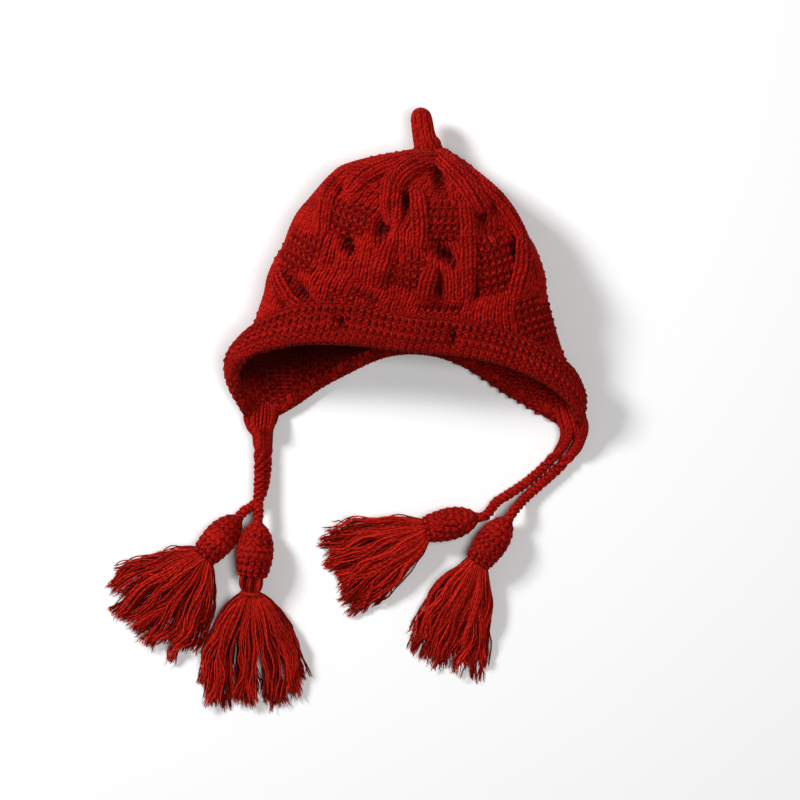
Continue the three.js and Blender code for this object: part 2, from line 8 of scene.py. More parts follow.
# A red knitted hat with earflaps lies on its back on a pale floor, seen from straight above.
# Tables are in millimetres, in the part's frame: +X right, +Y towards the stem, +Z up.
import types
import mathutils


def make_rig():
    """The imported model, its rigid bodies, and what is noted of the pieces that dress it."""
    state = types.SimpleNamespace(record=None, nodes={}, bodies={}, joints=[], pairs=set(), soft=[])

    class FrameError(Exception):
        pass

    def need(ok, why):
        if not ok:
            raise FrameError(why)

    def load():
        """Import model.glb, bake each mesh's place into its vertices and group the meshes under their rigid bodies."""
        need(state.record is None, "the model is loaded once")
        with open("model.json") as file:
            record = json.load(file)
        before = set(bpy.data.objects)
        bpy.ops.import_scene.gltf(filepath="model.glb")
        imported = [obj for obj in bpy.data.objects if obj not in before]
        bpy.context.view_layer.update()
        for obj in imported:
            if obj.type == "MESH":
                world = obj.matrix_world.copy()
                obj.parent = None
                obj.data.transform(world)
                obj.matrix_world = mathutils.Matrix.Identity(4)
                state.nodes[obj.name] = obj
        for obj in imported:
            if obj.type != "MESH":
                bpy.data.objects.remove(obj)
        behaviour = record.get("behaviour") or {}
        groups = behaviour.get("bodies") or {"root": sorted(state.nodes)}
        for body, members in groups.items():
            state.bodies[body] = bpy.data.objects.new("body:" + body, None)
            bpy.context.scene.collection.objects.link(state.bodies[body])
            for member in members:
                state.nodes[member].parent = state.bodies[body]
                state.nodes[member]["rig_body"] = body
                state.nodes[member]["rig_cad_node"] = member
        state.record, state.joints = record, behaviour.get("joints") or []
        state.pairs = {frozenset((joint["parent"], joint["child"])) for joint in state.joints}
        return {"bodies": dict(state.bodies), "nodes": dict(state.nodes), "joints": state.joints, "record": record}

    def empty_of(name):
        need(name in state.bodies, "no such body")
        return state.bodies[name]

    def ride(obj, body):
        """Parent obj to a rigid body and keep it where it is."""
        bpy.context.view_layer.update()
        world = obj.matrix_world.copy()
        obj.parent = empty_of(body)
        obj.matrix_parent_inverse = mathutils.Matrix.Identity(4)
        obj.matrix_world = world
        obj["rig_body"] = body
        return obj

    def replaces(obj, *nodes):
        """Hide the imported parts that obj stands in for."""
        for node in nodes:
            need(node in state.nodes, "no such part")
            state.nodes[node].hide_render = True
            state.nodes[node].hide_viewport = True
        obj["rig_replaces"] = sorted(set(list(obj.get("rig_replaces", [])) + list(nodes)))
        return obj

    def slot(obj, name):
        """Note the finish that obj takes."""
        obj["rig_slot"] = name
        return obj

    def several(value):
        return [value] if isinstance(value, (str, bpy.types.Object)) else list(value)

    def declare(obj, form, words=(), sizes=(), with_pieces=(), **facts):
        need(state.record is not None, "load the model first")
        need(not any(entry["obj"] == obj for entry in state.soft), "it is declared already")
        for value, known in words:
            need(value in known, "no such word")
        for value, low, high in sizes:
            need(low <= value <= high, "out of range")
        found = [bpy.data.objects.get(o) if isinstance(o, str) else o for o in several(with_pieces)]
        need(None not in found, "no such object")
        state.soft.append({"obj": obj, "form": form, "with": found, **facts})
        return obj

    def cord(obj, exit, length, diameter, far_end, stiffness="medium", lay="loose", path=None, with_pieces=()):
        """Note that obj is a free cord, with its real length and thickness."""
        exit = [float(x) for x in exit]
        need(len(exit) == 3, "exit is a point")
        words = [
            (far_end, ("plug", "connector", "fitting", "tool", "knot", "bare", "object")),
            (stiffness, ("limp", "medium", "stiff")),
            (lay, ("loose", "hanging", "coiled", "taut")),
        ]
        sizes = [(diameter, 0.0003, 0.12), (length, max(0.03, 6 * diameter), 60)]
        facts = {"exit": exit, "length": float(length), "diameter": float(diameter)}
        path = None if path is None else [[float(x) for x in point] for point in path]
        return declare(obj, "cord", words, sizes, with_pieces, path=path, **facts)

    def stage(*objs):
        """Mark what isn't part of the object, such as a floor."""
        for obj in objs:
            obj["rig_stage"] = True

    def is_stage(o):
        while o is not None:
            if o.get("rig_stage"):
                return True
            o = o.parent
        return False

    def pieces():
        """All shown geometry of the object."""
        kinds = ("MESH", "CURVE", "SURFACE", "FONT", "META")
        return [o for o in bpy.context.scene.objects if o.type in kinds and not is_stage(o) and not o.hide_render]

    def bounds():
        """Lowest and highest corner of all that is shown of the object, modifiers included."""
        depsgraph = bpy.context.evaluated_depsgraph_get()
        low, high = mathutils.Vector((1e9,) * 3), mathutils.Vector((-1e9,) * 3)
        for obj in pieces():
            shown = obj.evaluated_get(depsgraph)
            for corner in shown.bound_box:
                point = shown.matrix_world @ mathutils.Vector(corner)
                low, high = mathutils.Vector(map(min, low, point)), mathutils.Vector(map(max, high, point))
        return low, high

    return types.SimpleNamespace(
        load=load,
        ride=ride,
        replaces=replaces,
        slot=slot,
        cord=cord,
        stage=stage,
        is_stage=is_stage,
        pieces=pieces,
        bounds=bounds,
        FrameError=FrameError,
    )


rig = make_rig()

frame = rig.load()
first_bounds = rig.bounds()

MM = 0.001
CAMERA_HEIGHT = 2400.0
CAMERA_PLACE = (-4.8, -104.0)
VIEW_WIDTH = 640.0
SHARP_HEIGHT = 30.0
TURN = 2 * math.pi
chance = np.random.default_rng(11)


def table(columns, rows):
    """Named columns from rows of numbers."""
    return dict(zip(columns.split(), np.array(rows, float).T))


def put(name, data):
    """A new object in the scene with the given mesh, light or camera."""
    thing = bpy.data.objects.new(name, data)
    bpy.context.scene.collection.objects.link(thing)
    return thing


# The camera
camera_data = bpy.data.cameras.new("camera")
camera_data.sensor_fit = "HORIZONTAL"
camera_data.angle = 2 * math.atan(VIEW_WIDTH / 2 / (CAMERA_HEIGHT - SHARP_HEIGHT))
camera_data.clip_end = 20.0
camera = put("camera", camera_data)
camera.location = (CAMERA_PLACE[0] * MM, CAMERA_PLACE[1] * MM, CAMERA_HEIGHT * MM)
bpy.context.scene.camera = camera

# Cords: each route from its ear to just above its cap, then straight into the cap
CORD_ROUTES = {
    "left_near": [
        (-120, -123.05, 13.4), (-118.9, -138.15, 13.2), (-118.4, -150.15, 13),
        (-118.4, -165.15, 13.2), (-118.9, -181.15, 13.4),
    ],
    "left_far": [
        (-112.4, -123.65, 9.2), (-112.2, -137.15, 5.6), (-112.3, -150.15, 4.4),
        (-113.4, -166.15, 4.4), (-117, -180.65, 4.4), (-124.6, -190.35, 4.8),
    ],
    "right_near": [
        (129.6, -130.05, 11.4), (127.6, -138.95, 8), (122.5, -146.75, 4.8), (111.5, -158.45, 4.4),
        (97.9, -170.25, 4.4), (82.6, -180.55, 4.6), (73, -186.75, 5.6),
    ],
    "right_far": [
        (140.8, -132.25, 13), (139.2, -138.55, 9.6), (133.9, -147.25, 5.2), (122.2, -160.25, 4.4),
        (108.4, -172.55, 4.4), (96.6, -183.15, 6),
    ],
}
CORD_DIAMETER = 8.4
CORD_LEAD = 8.0
CORD_GAP = 0.3

# Caps: from where the cord enters to the mouth, and how wide
CAPS = {
    "left_near": ((-119.5, -203.45, 14.2), (-123.4, -244.15, 13.6), 1.11),
    "left_far": ((-135.4, -199.15, 7.2), (-162.4, -229.35, 11.6), 0.99),
    "right_near": ((57.2, -198.75, 10.4), (17, -208.15, 11.6), 0.97),
    "right_far": ((82.4, -199.95, 13.4), (58.4, -233.65, 12.6), 0.98),
}
CAP_LENGTH = 41.0
CAP_ROWS = table(
    "along radius", [(0, 4), (2.5, 6.6), (8, 10.4), (15, 12.9), (23, 13.8), (31, 13.2), (38, 12), (41, 11)]
)

# Tassels: the fan's sides in degrees from +X, the strands' lengths at the first side, the middle and
# the last side, the tied neck's length, and how far the fan swells and then closes again
TASSELS = {
    "left_near": {"first": -122, "last": -57, "long": (82, 93, 84), "neck": 16.0, "bell": (1.9, 0.25)},
    "left_far": {"first": -171, "last": -97, "long": (73, 80, 77), "neck": 0.0, "bell": (1.5, 0.5)},
    "right_near": {"first": -180, "last": -126, "long": (78, 85, 83), "neck": 0.0, "bell": (1.5, 0.5)},
    "right_far": {"first": -133, "last": -87, "long": (78, 84, 83), "neck": 0.0, "bell": (1.5, 0.5)},
}

# The hat's outlines, as in the CAD
HAT_SHIFT = (0.0, -0.15)
CROWN_WALL = 4.6
BRIM_WALL = 5.0
BRIM_SEAT = 0.85
BRIM_FOLD = 5.2
LIFT_ON_BRIM = 5.4
LIFT_RUN = 16.0
SIDE_ROUND = 1.15
SETTLE = 1.2
BODY = table("y left right front side under", [
    (-134, -126, 138, 33, 15, 0), (-120, -126, 138.5, 39, 17, 0), (-107, -131, 138, 45, 20, 0),
    (-94, -136, 136, 50, 22, 0), (-82, -138, 133, 55, 24, 0), (-69, -136, 128, 59, 26, 0),
    (-56, -130, 123.5, 63, 28, 0), (-43, -123, 119.5, 67, 29, 0), (-30, -118.5, 116, 70, 30, 0),
    (-17.5, -114.5, 113, 73, 31, 0), (-5, -112, 112, 75, 31, 0), (8, -106.5, 108, 76, 31, 0),
    (21, -99, 103, 76, 31, 0), (33.5, -94.5, 94, 75, 31, 0), (46.5, -88, 86.5, 72, 31, 0),
    (59, -77.5, 77, 68, 31, 0), (72, -66.5, 65, 61, 30, 0), (78.5, -60, 59, 57, 30, 1),
    (85, -51, 52, 52, 29, 4), (91, -31, 43, 46, 28, 9), (96, -4, 34, 39, 27.5, 16),
    (99, 17, 17, 27, 27, 27),
])
RIM = table("angle fold edge gape", [
    (0, -128, -103, 3), (12, -124, -94, 3), (25, -111, -79, 3), (38, -100, -65, 2), (50, -88, -54, 1.5),
    (62, -77, -46, 1), (75, -70, -40, 1), (90, -66, -36, 1), (103, -62, -28, 1), (118, -61, -26, 1.5),
    (132, -65, -31, 2), (147, -71, -42, 2), (160, -78, -56, 3), (172, -90, -70, 4), (184, -106, -81, 3),
    (196, -118, -88, 1.5), (208, -123, -91, 0.5), (222, -121, -88, 0), (237, -110, -77, 0),
    (252, -89, -57, 0), (268, -69, -37, 0), (284, -74, -42, 0), (300, -104, -71, 0),
    (316, -122, -89, 0), (332, -129, -97, 0.5), (346, -130, -102, 1.5), (360, -128, -103, 3),
])
# Shapes of the front face, where they are seen from the camera: soft puffs and hollows,
# raised bands of plain knitting that cross each other, and narrow holes between them
PUFFS = table("x y reach_x reach_y rise", [
    (28, 40, 17, 16, 2.5), (71, 4, 17, 18, 2.5), (-46, 44, 16, 12, 2), (-84, 16, 14, 14, 2),
    (-3, -2, 17, 12, 2.5), (103, -40, 14, 15, 2), (-46, -3, 16, 11, 3), (73, -32, 14, 11, 3),
    (31, 17, 11, 8, -3.5), (62, 33, 7, 10, -3), (26, -31, 22, 3, -4), (-5, 33, 10, 16, 2),
])
BAND_SHARE = 0.8
# Bands: how far they rise, their half width, and the line that they follow
BANDS = [
    (3.6, 5.0, [(24, 95), (3, 86), (-10, 74), (-12, 52), (-12, 30), (-18, 14), (-21, -2)]),
    (2.8, 5.0, [(22, 95), (-9, 88), (-35, 78), (-46, 66)]),
    (3.2, 5.0, [(-49, 80), (-64, 62), (-69, 44), (-69, 20), (-67, 6)]),
    (4.5, 6.0, [(28, 95), (39, 82), (51, 66), (62, 50)]),
    (3.5, 5.5, [(39, 88), (59, 70), (78, 54), (91, 35)]),
    (2.2, 4.0, [(48, 56), (49, 20), (50, -29)]),
    (2.5, 4.5, [(94, 29), (93, -4), (89, -24)]),
    (2.4, 4.0, [(10, 60), (11, 40), (10, 18)]),
    (3.0, 4.5, [(19, -2), (14, -24)]),
    (2.4, 4.0, [(38, -2), (42, -24)]),
    (3.4, 4.5, [(-104, -2), (-98, -18), (-88, -31)]),
    (2.6, 4.0, [(-78, -6), (-71, -26)]),
    (2.5, 5.0, [(91, 35), (107, 6), (113, -16)]),
]
# Cables: half width, and the line that they follow as seen from the camera
CABLES = [
    (8.0, [(25, 92), (6, 86), (-9, 73), (-12.5, 56), (-11.5, 38)]),
    (8.5, [(27, 93), (37, 83), (51, 66), (63, 48)]),
    (7.0, [(36, 90), (56, 73), (76, 55), (90, 36), (96, 24)]),
    (7.0, [(18, 93), (-10, 88), (-34, 78), (-48, 64)]),
    (6.5, [(-46, 82), (-61, 66), (-67, 50), (-69, 30)]),
    (5.0, [(48, 57), (49.5, 30), (50, 4), (50, -24)]),
    (6.0, [(-106, -2), (-101, -14), (-93, -25), (-84, -33)]),
    (6.0, [(94, 27), (94, 8), (91, -8), (87, -22)]),
    (5.5, [(8, 64), (10, 48), (11, 32), (10, 18)]),
    (5.5, [(-13, 22), (-17, 10), (-21, -4), (-23, -14)]),
    (5.5, [(21, 2), (17, -10), (14, -24)]),
]
CABLE_YARN = 1.3
# Holes: their middle and reach, how they lean, how deep they sink and how far the knitting parts
DENTS = table("x y reach_x reach_y lean depth part", [
    (-2.5, 59, 3.2, 9, -0.2, 8, 2.8), (-18.5, 34.5, 3.4, 11, 0.22, 8, 3.0),
    (-46.5, 19.5, 3.4, 8, -0.25, 7, 2.2), (-54.5, 69, 3.0, 6.5, 0.2, 5, 1.6),
    (-86, -16, 2.6, 12, -0.75, 6, 2.2), (-99, -26, 3.5, 5.5, -0.5, 6, 2.2),
    (33, 12.5, 3.8, 9.5, -0.6, 8, 2.6), (60, 45.5, 2.5, 6.5, -0.9, 6, 2.2),
    (88, 16, 1.8, 12, -0.1, 5, 1.8), (26.5, 79, 3.4, 14, -0.2, 8, 1.2), (26, -14, 2.6, 12, 0, 4, 1.0),
    (55, -20, 2.6, 5, 0.2, 4, 1.0),
])
# Places on the front whose yarn gets painted shade, as they get less light than what is round them
SHADES = table("x y reach_x reach_y share", [
    (66, 41, 10, 12, 0.35), (28, 62, 9, 8, 0.3), (-92, -22, 10, 9, 0.3), (34, -6, 10, 9, 0.25),
    (-66, 58, 5, 10, 0.25), (2, 52, 5, 12, 0.25),
])
# Shallow gathers that run down from the stem
GORE_COUNT = 12
GORE_RISE = 1.1
GORE_FADE = (30.0, 78.0)

# Knitting
STITCH_WIDE = 5.7
ROW_TALL = 3.3
YARN = 1.38
GORES = 8


def read(rows, key, column, at):
    """Reads a column between its rows along a smooth curve."""
    keys, values = rows[key], rows[column]
    slopes = np.empty_like(values)
    slopes[1:-1] = (values[2:] - values[:-2]) / (keys[2:] - keys[:-2])
    slopes[0] = (values[1] - values[0]) / (keys[1] - keys[0])
    slopes[-1] = (values[-1] - values[-2]) / (keys[-1] - keys[-2])
    at = np.asarray(at, float)
    i = np.clip(np.searchsorted(keys, at) - 1, 0, len(keys) - 2)
    span = keys[i + 1] - keys[i]
    s = np.clip((at - keys[i]) / span, 0, 1)
    return (
        (2 * s**3 - 3 * s**2 + 1) * values[i]
        + (s**3 - 2 * s**2 + s) * span * slopes[i]
        + (3 * s**2 - 2 * s**3) * values[i + 1]
        + (s**3 - s**2) * span * slopes[i + 1]
    )


def smooth(value, low, high):
    s = np.clip((value - low) / (high - low), 0, 1)
    return s * s * (3 - 2 * s)


def rim(angle, column):
    return read(RIM, "angle", column, np.degrees(angle) % 360)


def relief(angle, y):
    """How far the front face stands out of its smooth shape towards the stem."""
    return GORE_RISE * smooth(y, *GORE_FADE) * np.cos(GORE_COUNT * angle)


def body(angle, y):
    """The crown's outer face at angles round the hat and places along it, in millimetres."""
    angle, y = np.broadcast_arrays(np.asarray(angle, float), np.asarray(y, float))
    left, right, front, side, base = (read(BODY, "y", column, y) for column in [*BODY][1:])
    lift = LIFT_ON_BRIM * smooth((rim(angle, "edge") + LIFT_RUN - y) / LIFT_RUN, 0, 1)
    under = np.maximum(base, np.minimum(lift, side))
    half = np.maximum((right - left) / 2, 0)
    cos, sin = np.cos(angle), np.sin(angle)
    rise = np.where(sin < 0, (side - base) * SETTLE, front - side)
    corner = np.minimum(np.abs(front - side) * SIDE_ROUND, half)
    x = (left + right) / 2 + (half - corner) * cos * (1.5 - 0.5 * cos * cos) + corner * cos
    z = side + rise * sin
    z = np.where(sin > 0, z + relief(angle, y) * sin, np.maximum(z, under))
    return np.stack([x, y, z], axis=-1)


def unit(v):
    return v / np.maximum(np.linalg.norm(v, axis=-1, keepdims=True), 1e-9)


def heading(line):
    return unit(np.gradient(line, axis=0))


def across_and_over(way, facing):
    """Directions across a way and over it, where over leans to the side that it faces."""
    across = unit(np.cross(way, facing))
    return across, np.cross(across, way)


def about(turn, across, over):
    """Directions at turns about a way, from across it up to over it."""
    return np.cos(turn)[..., None] * across + np.sin(turn)[..., None] * over


def lengths_along(line):
    """The length of a line from its first point up to each of its points."""
    steps = np.linalg.norm(np.diff(line, axis=0), axis=1)
    return np.concatenate([[0], np.cumsum(steps)])


def places_on(line, along, at):
    """Where a line is at some lengths along it."""
    return np.stack([np.interp(at, along, line[:, k]) for k in range(3)], axis=-1)


def shares_of(count):
    """Even shares of a whole that closes, from 0 up to but without 1."""
    return np.arange(count) / count


def evenly(line, count):
    """A line resampled to count points at even lengths."""
    along = lengths_along(line)
    return places_on(line, along, np.linspace(0, along[-1], count))


class Sheet:
    """A surface sampled on a grid. Columns run round it and close, and rows run up it."""

    def __init__(self, points, outward=1):
        self.points, self.outward = points, outward
        self.rows, self.columns = points.shape[:2]
        # lit and lit_back: the painted light of yarns on the outer and the inner side, lowered where shade is painted
        self.lit = np.ones((self.rows, self.columns))
        self.lit_back = self.lit.copy()
        self.refresh()

    def refresh(self):
        round_way = np.roll(self.points, -1, axis=1) - np.roll(self.points, 1, axis=1)
        up_way = np.gradient(self.points, axis=0)
        self.normals = unit(np.cross(up_way, round_way)) * self.outward

    def face_out(self):
        """Turns the normals away from the middle of each ring."""
        middle = self.points.mean(axis=1, keepdims=True)
        if ((self.points - middle) * self.normals).sum() < 0:
            self.outward = -self.outward
            self.refresh()
        return self

    def at(self, u, v, height=0.0):
        """Points at shares u round the sheet and v up it, at a height off it, and their normals."""
        column = (np.asarray(u) % 1.0) * self.columns
        row = np.clip(np.asarray(v), 0, 1) * (self.rows - 1)
        i = np.minimum(row.astype(int), self.rows - 2)
        j = column.astype(int) % self.columns
        k = (j + 1) % self.columns
        a, b = (row - i)[..., None], (column - np.floor(column))[..., None]

        def mix(grid):
            low = grid[i, j] * (1 - b) + grid[i, k] * b
            high = grid[i + 1, j] * (1 - b) + grid[i + 1, k] * b
            return low * (1 - a) + high * a

        points, normals = mix(self.points), unit(mix(self.normals))
        return points + normals * np.asarray(height)[..., None], normals

    def lit_at(self, u, v):
        """How much painted light the outer and the inner side get at shares u and v of the sheet."""
        j = ((np.asarray(u) % 1.0) * self.columns).astype(int) % self.columns
        i = np.round(np.clip(np.asarray(v), 0, 1) * (self.rows - 1)).astype(int)
        return self.lit[i, j], self.lit_back[i, j]


# Meshes. A yarn gets painted shade where it is less than OPEN_TO off the fabric's dark middle, where less light
# reaches it.
OPEN_FROM = 0.2
OPEN_TO = 2.5
OUTER_FROM = -0.1
STAGGER = 40.0
FLOOR_CLEAR = 0.15
NO_SHIFT = (0.0, 0.0)


class Tubes:
    """Collects yarns as tubes, with the length along the yarn, the place round it and a chance value."""

    def __init__(self):
        self.parts, self.count = [], 0

    def add(self, path, facing, radius, sides, closed=False, off=OPEN_TO, back=None, lit=1.0, lit_back=1.0):
        """path and facing hold many yarns of the same number of points; radius is one or each.
        off and back say how far a yarn's outer and inner side are from the fabric's dark middle; the nearer, the more
        painted shade it gets, and lit and lit_back lower its painted light on each side further."""
        path, facing = (grid if grid.ndim == 3 else grid[None] for grid in (path, facing))
        many, length = path.shape[:2]
        radius = np.broadcast_to(np.asarray(radius, float), (many, length))
        way = np.gradient(path, axis=1)
        if closed:
            way = np.roll(path, -1, axis=1) - np.roll(path, 1, axis=1)
        across, over = across_and_over(unit(way), facing)
        turn = shares_of(sides) * TURN
        rings = path[:, :, None] + radius[..., None, None] * about(turn, across[:, :, None], over[:, :, None])
        off, back, lit, lit_back = (
            np.broadcast_to(value, (many, length))[:, :, None]
            for value in (off, off if back is None else back, lit, lit_back)
        )
        # painted shade: each point's share of painted light comes from its height off the dark middle and from the
        # sheet's painted light
        outer = np.sin(turn) > OUTER_FROM
        height = np.where(outer, off, back) + radius[:, :, None] * np.abs(np.sin(turn))
        share = smooth(height, OPEN_FROM, OPEN_TO) * np.where(outer, lit, lit_back)
        index = self.count + np.arange(many * length * sides).reshape(many, length, sides)
        step = np.linalg.norm(np.diff(path, axis=1), axis=2)
        begin = STAGGER * chance.random((many, 1))
        along = np.concatenate([np.zeros((many, 1)), np.cumsum(step, axis=1)], axis=1) + begin
        if closed:
            index = np.concatenate([index, index[:, :1]], axis=1)
            along = np.concatenate([along, along[:, -1:] + step.mean()], axis=1)
        beside = np.roll(index, -1, axis=2)
        quads = np.stack([index[:, :-1], beside[:, :-1], beside[:, 1:], index[:, 1:]], axis=-1)
        marks = np.empty((*quads.shape, 3))
        before, after = along[:, :-1, None], along[:, 1:, None]
        for corner, (far, turned) in enumerate([(before, 0), (before, 1), (after, 1), (after, 0)]):
            marks[..., corner, 0] = far
            marks[..., corner, 1] = (np.arange(sides) + turned) / sides
        marks[..., 2] = chance.random((many, 1, 1, 1))
        self.parts.append((rings.reshape(-1, 3), quads.reshape(-1, 4), marks.reshape(-1, 3), share.ravel()))
        self.count += many * length * sides

    def build(self, name, material, shift=HAT_SHIFT):
        points, quads, marks, share = map(np.concatenate, zip(*self.parts))
        return make_mesh(name, points, quads, material, shift, marks, share)


def make_mesh(name, points, quads, material, shift, marks=None, painted_light_share=None):
    points = points + np.array([*shift, 0])
    points[:, 2] = np.maximum(points[:, 2], FLOOR_CLEAR)
    mesh = bpy.data.meshes.new(name)
    mesh.from_pydata(points * MM, [], quads, shade_flat=False)
    if marks is not None:
        layer = mesh.attributes.new("yarn", "FLOAT_VECTOR", "CORNER")
        layer.data.foreach_set("vector", marks.astype(np.float32).ravel())
        # the "open" attribute holds each point's painted light share; low values get painted shade
        layer = mesh.attributes.new("open", "FLOAT", "POINT")
        layer.data.foreach_set("value", painted_light_share.astype(np.float32))
    mesh.materials.append(material)
    return put(name, mesh)


def spread_out(rows, columns, last=1.0):
    """A grid of shares up a sheet and round it."""
    return np.meshgrid(np.linspace(0, last, rows), shares_of(columns), indexing="ij")


def lining(name, node, sheet, v, u, high, low, shift=HAT_SHIFT):
    """A closed dark skin in a knitted wall, between two heights off its sheet; its dark colour is painted shade."""
    outer, inner = sheet.at(u, v, high)[0], sheet.at(u, v, low)[0]
    index = np.arange(outer[..., 0].size).reshape(outer.shape[:2])
    loop = np.concatenate([index, index[::-1] + index.size, index[:1]])
    beside = np.roll(loop, -1, axis=1)
    quads = np.stack([loop[:-1], beside[:-1], beside[1:], loop[1:]], axis=-1).reshape(-1, 4)
    points = np.concatenate([outer.reshape(-1, 3), inner.reshape(-1, 3)])
    return dress(make_mesh(name, points, quads, painted_shade_backing, shift), node)


def dress(piece, node, slot="red_knit"):
    """The piece rides on the one body, stands for a node and takes a finish."""
    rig.ride(piece, "root")
    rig.replaces(piece, node)
    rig.slot(piece, slot)
    return piece


# Materials
class Graph:
    """A material's nodes, with short ways to add and join them."""

    def __init__(self, name):
        self.material = bpy.data.materials.new(name)
        self.material.use_nodes = True
        self.tree = self.material.node_tree
        self.shader = self.tree.nodes["Principled BSDF"]

    def give(self, node, values):
        """Gives a node's inputs a number, a colour or another node's output each."""
        for key, value in dict(values).items():
            if isinstance(value, bpy.types.NodeSocket):
                self.tree.links.new(value, node.inputs[key])
            else:
                node.inputs[key].default_value = value

    def add(self, kind, values=(), **settings):
        node = self.tree.nodes.new("ShaderNode" + kind)
        for key, value in settings.items():
            setattr(node, key, value)
        self.give(node, values)
        return node

    def math(self, operation, *values):
        return self.add("Math", enumerate(values), operation=operation).outputs[0]

    def weighed(self, *parts):
        """The sum of values, each times its weight."""
        total, *more = [self.math("MULTIPLY", value, float(weight)) for value, weight in parts]
        for part in more:
            total = self.math("ADD", total, part)
        return total

    def noise(self, place, scale, detail, roughness=0.5):
        values = {"Vector": place, "Scale": scale, "Detail": detail, "Roughness": roughness}
        return self.add("TexNoise", values).outputs["Fac"]

    def own_place(self):
        return self.add("TexCoord").outputs["Object"]

    def ramp(self, value, dark, light, last):
        """A colour that runs from dark at RAMP_FIRST to light at the last value."""
        node = self.add("ValToRGB", {0: value})
        for stop, place, colour in zip(node.color_ramp.elements, (RAMP_FIRST, last), (dark, light)):
            stop.position = place
            stop.color = (*colour, 1)
        return node.outputs[0]

    def bump(self, height, strength, distance):
        return self.add("Bump", {"Strength": strength, "Distance": distance, "Height": height}).outputs[0]


RAMP_FIRST = 0.3
PAINTED_SHADE_SHARE = 0.3
GLINT_RARE = 8.0
FIBRES_ROUND = 3.0
FIBRES_ALONG = 0.25
LUCK_APART = 57.0


def yarn_material(name, light, dark, plies, pitch, bump, glints=0.0, twist_tone=0.22):
    """Wool yarn: twisted plies, fine fibres, a colour that varies from yarn to yarn, painted shade where the yarn lies
    deep or in shade, and painted glints on a few strands.
    """
    graph = Graph(name)
    marks = graph.add("Attribute", attribute_name="yarn").outputs["Vector"]
    along, place, luck = graph.add("SeparateXYZ", {0: marks}).outputs
    turns = graph.weighed((along, 1.0 / pitch), (place, plies))
    twist = graph.math("SINE", graph.math("MULTIPLY", turns, TURN))
    stretched = [(turns, FIBRES_ROUND), (along, FIBRES_ALONG), (luck, LUCK_APART)]
    fibre_place = graph.add("CombineXYZ", {k: graph.weighed(pair) for k, pair in enumerate(stretched)})
    fibre = graph.noise(fibre_place.outputs[0], 2.4, 3.0, 0.7)
    patches = graph.noise(graph.own_place(), 60.0, 3.0)
    # painted highlight: a few strands, picked by luck, get a lighter colour as glints
    rare = graph.math("POWER", luck, GLINT_RARE)
    tone = graph.weighed((twist, twist_tone), (fibre, 0.9), (patches, 0.35), (luck, 0.15), (rare, glints))
    # painted shade: the yarn is mixed towards a deep dark red where its painted light share is low
    painted_light = graph.add("Attribute", attribute_name="open").outputs["Fac"]
    deep = (*[PAINTED_SHADE_SHARE * x for x in dark], 1)
    colours = {"Fac": painted_light, "Color1": deep, "Color2": graph.ramp(tone, dark, light, 1.0)}
    graph.give(graph.shader, {
        "Base Color": graph.add("MixRGB", colours).outputs[0],
        "Normal": graph.bump(graph.weighed((twist, 1.0), (fibre, 1.6)), bump, 0.00025),
        "Roughness": 0.82,
        "Specular IOR Level": 0.05,
        "Sheen Weight": 0.05,
        "Sheen Roughness": 0.4,
        "Sheen Tint": (1.0, 0.2, 0.15, 1),
    })
    return graph.material


def felt_material(name, light, dark):
    """The matted inner fibres that show between the stitches, in a near-black red that is painted shade."""
    graph = Graph(name)
    fibres = graph.noise(graph.own_place(), 900.0, 4.0)
    graph.give(graph.shader, {
        "Base Color": graph.ramp(fibres, dark, light, 0.75),
        "Normal": graph.bump(fibres, 0.6, 0.0004),
        "Roughness": 0.95,
        "Specular IOR Level": 0.0,
    })
    return graph.material


RED = (0.46, 0.009, 0.005)
# the tassels' yarn is a lighter red than the knit, a painted highlight for loose strands that face the light
PAINTED_LIT_RED = (0.66, 0.018, 0.009)
DARK_RED = (0.12, 0.0008, 0.0004)
knit_yarn = yarn_material("knit_yarn", RED, DARK_RED, 2, 5.5, 0.5)
loose_yarn = yarn_material("loose_yarn", PAINTED_LIT_RED, DARK_RED, 2, 5.0, 0.4, 0.7, 0.07)
cord_yarn = yarn_material("cord_yarn", RED, DARK_RED, 2, 4.0, 0.5)
# the backing stands for the inner yarn between the stitches; its near-black red is painted shade
painted_shade_backing = felt_material("painted_shade_backing", (0.035, 0.0006, 0.0004), (0.012, 0.0002, 0.0002))


# Cords
def curve_through(points, count):
    """An even run of points along a smooth curve through the given ones."""
    points = np.array(points, float)
    padded = np.concatenate([[2 * points[0] - points[1]], points, [2 * points[-1] - points[-2]]])
    s = shares_of(24)[:, None]
    run = [
        0.5 * (2 * b + (c - a) * s + (2 * a - 5 * b + 4 * c - d) * s**2 + (3 * b - a - 3 * c + d) * s**3)
        for a, b, c, d in zip(padded, padded[1:], padded[2:], padded[3:])
    ]
    return evenly(np.concatenate([*run, points[-1:]]), count)


UP = np.array([0, 0, 1.0])
CORD_STRANDS = 3
STRAND_YARNS = 3
STRAND_OFF = 2.2
STRAND_PITCH = 14.0
YARN_OFF = 1.0
YARN_PITCH = 36.0
STRAND_YARN = 1.28
ROPE_SIDES = 7
ROPE_POINTS = 110
PLAIN_RUN = (16.0, 44.0)
PLAIN_TWIST = 0.12
PLAIN_FULL = 0.05


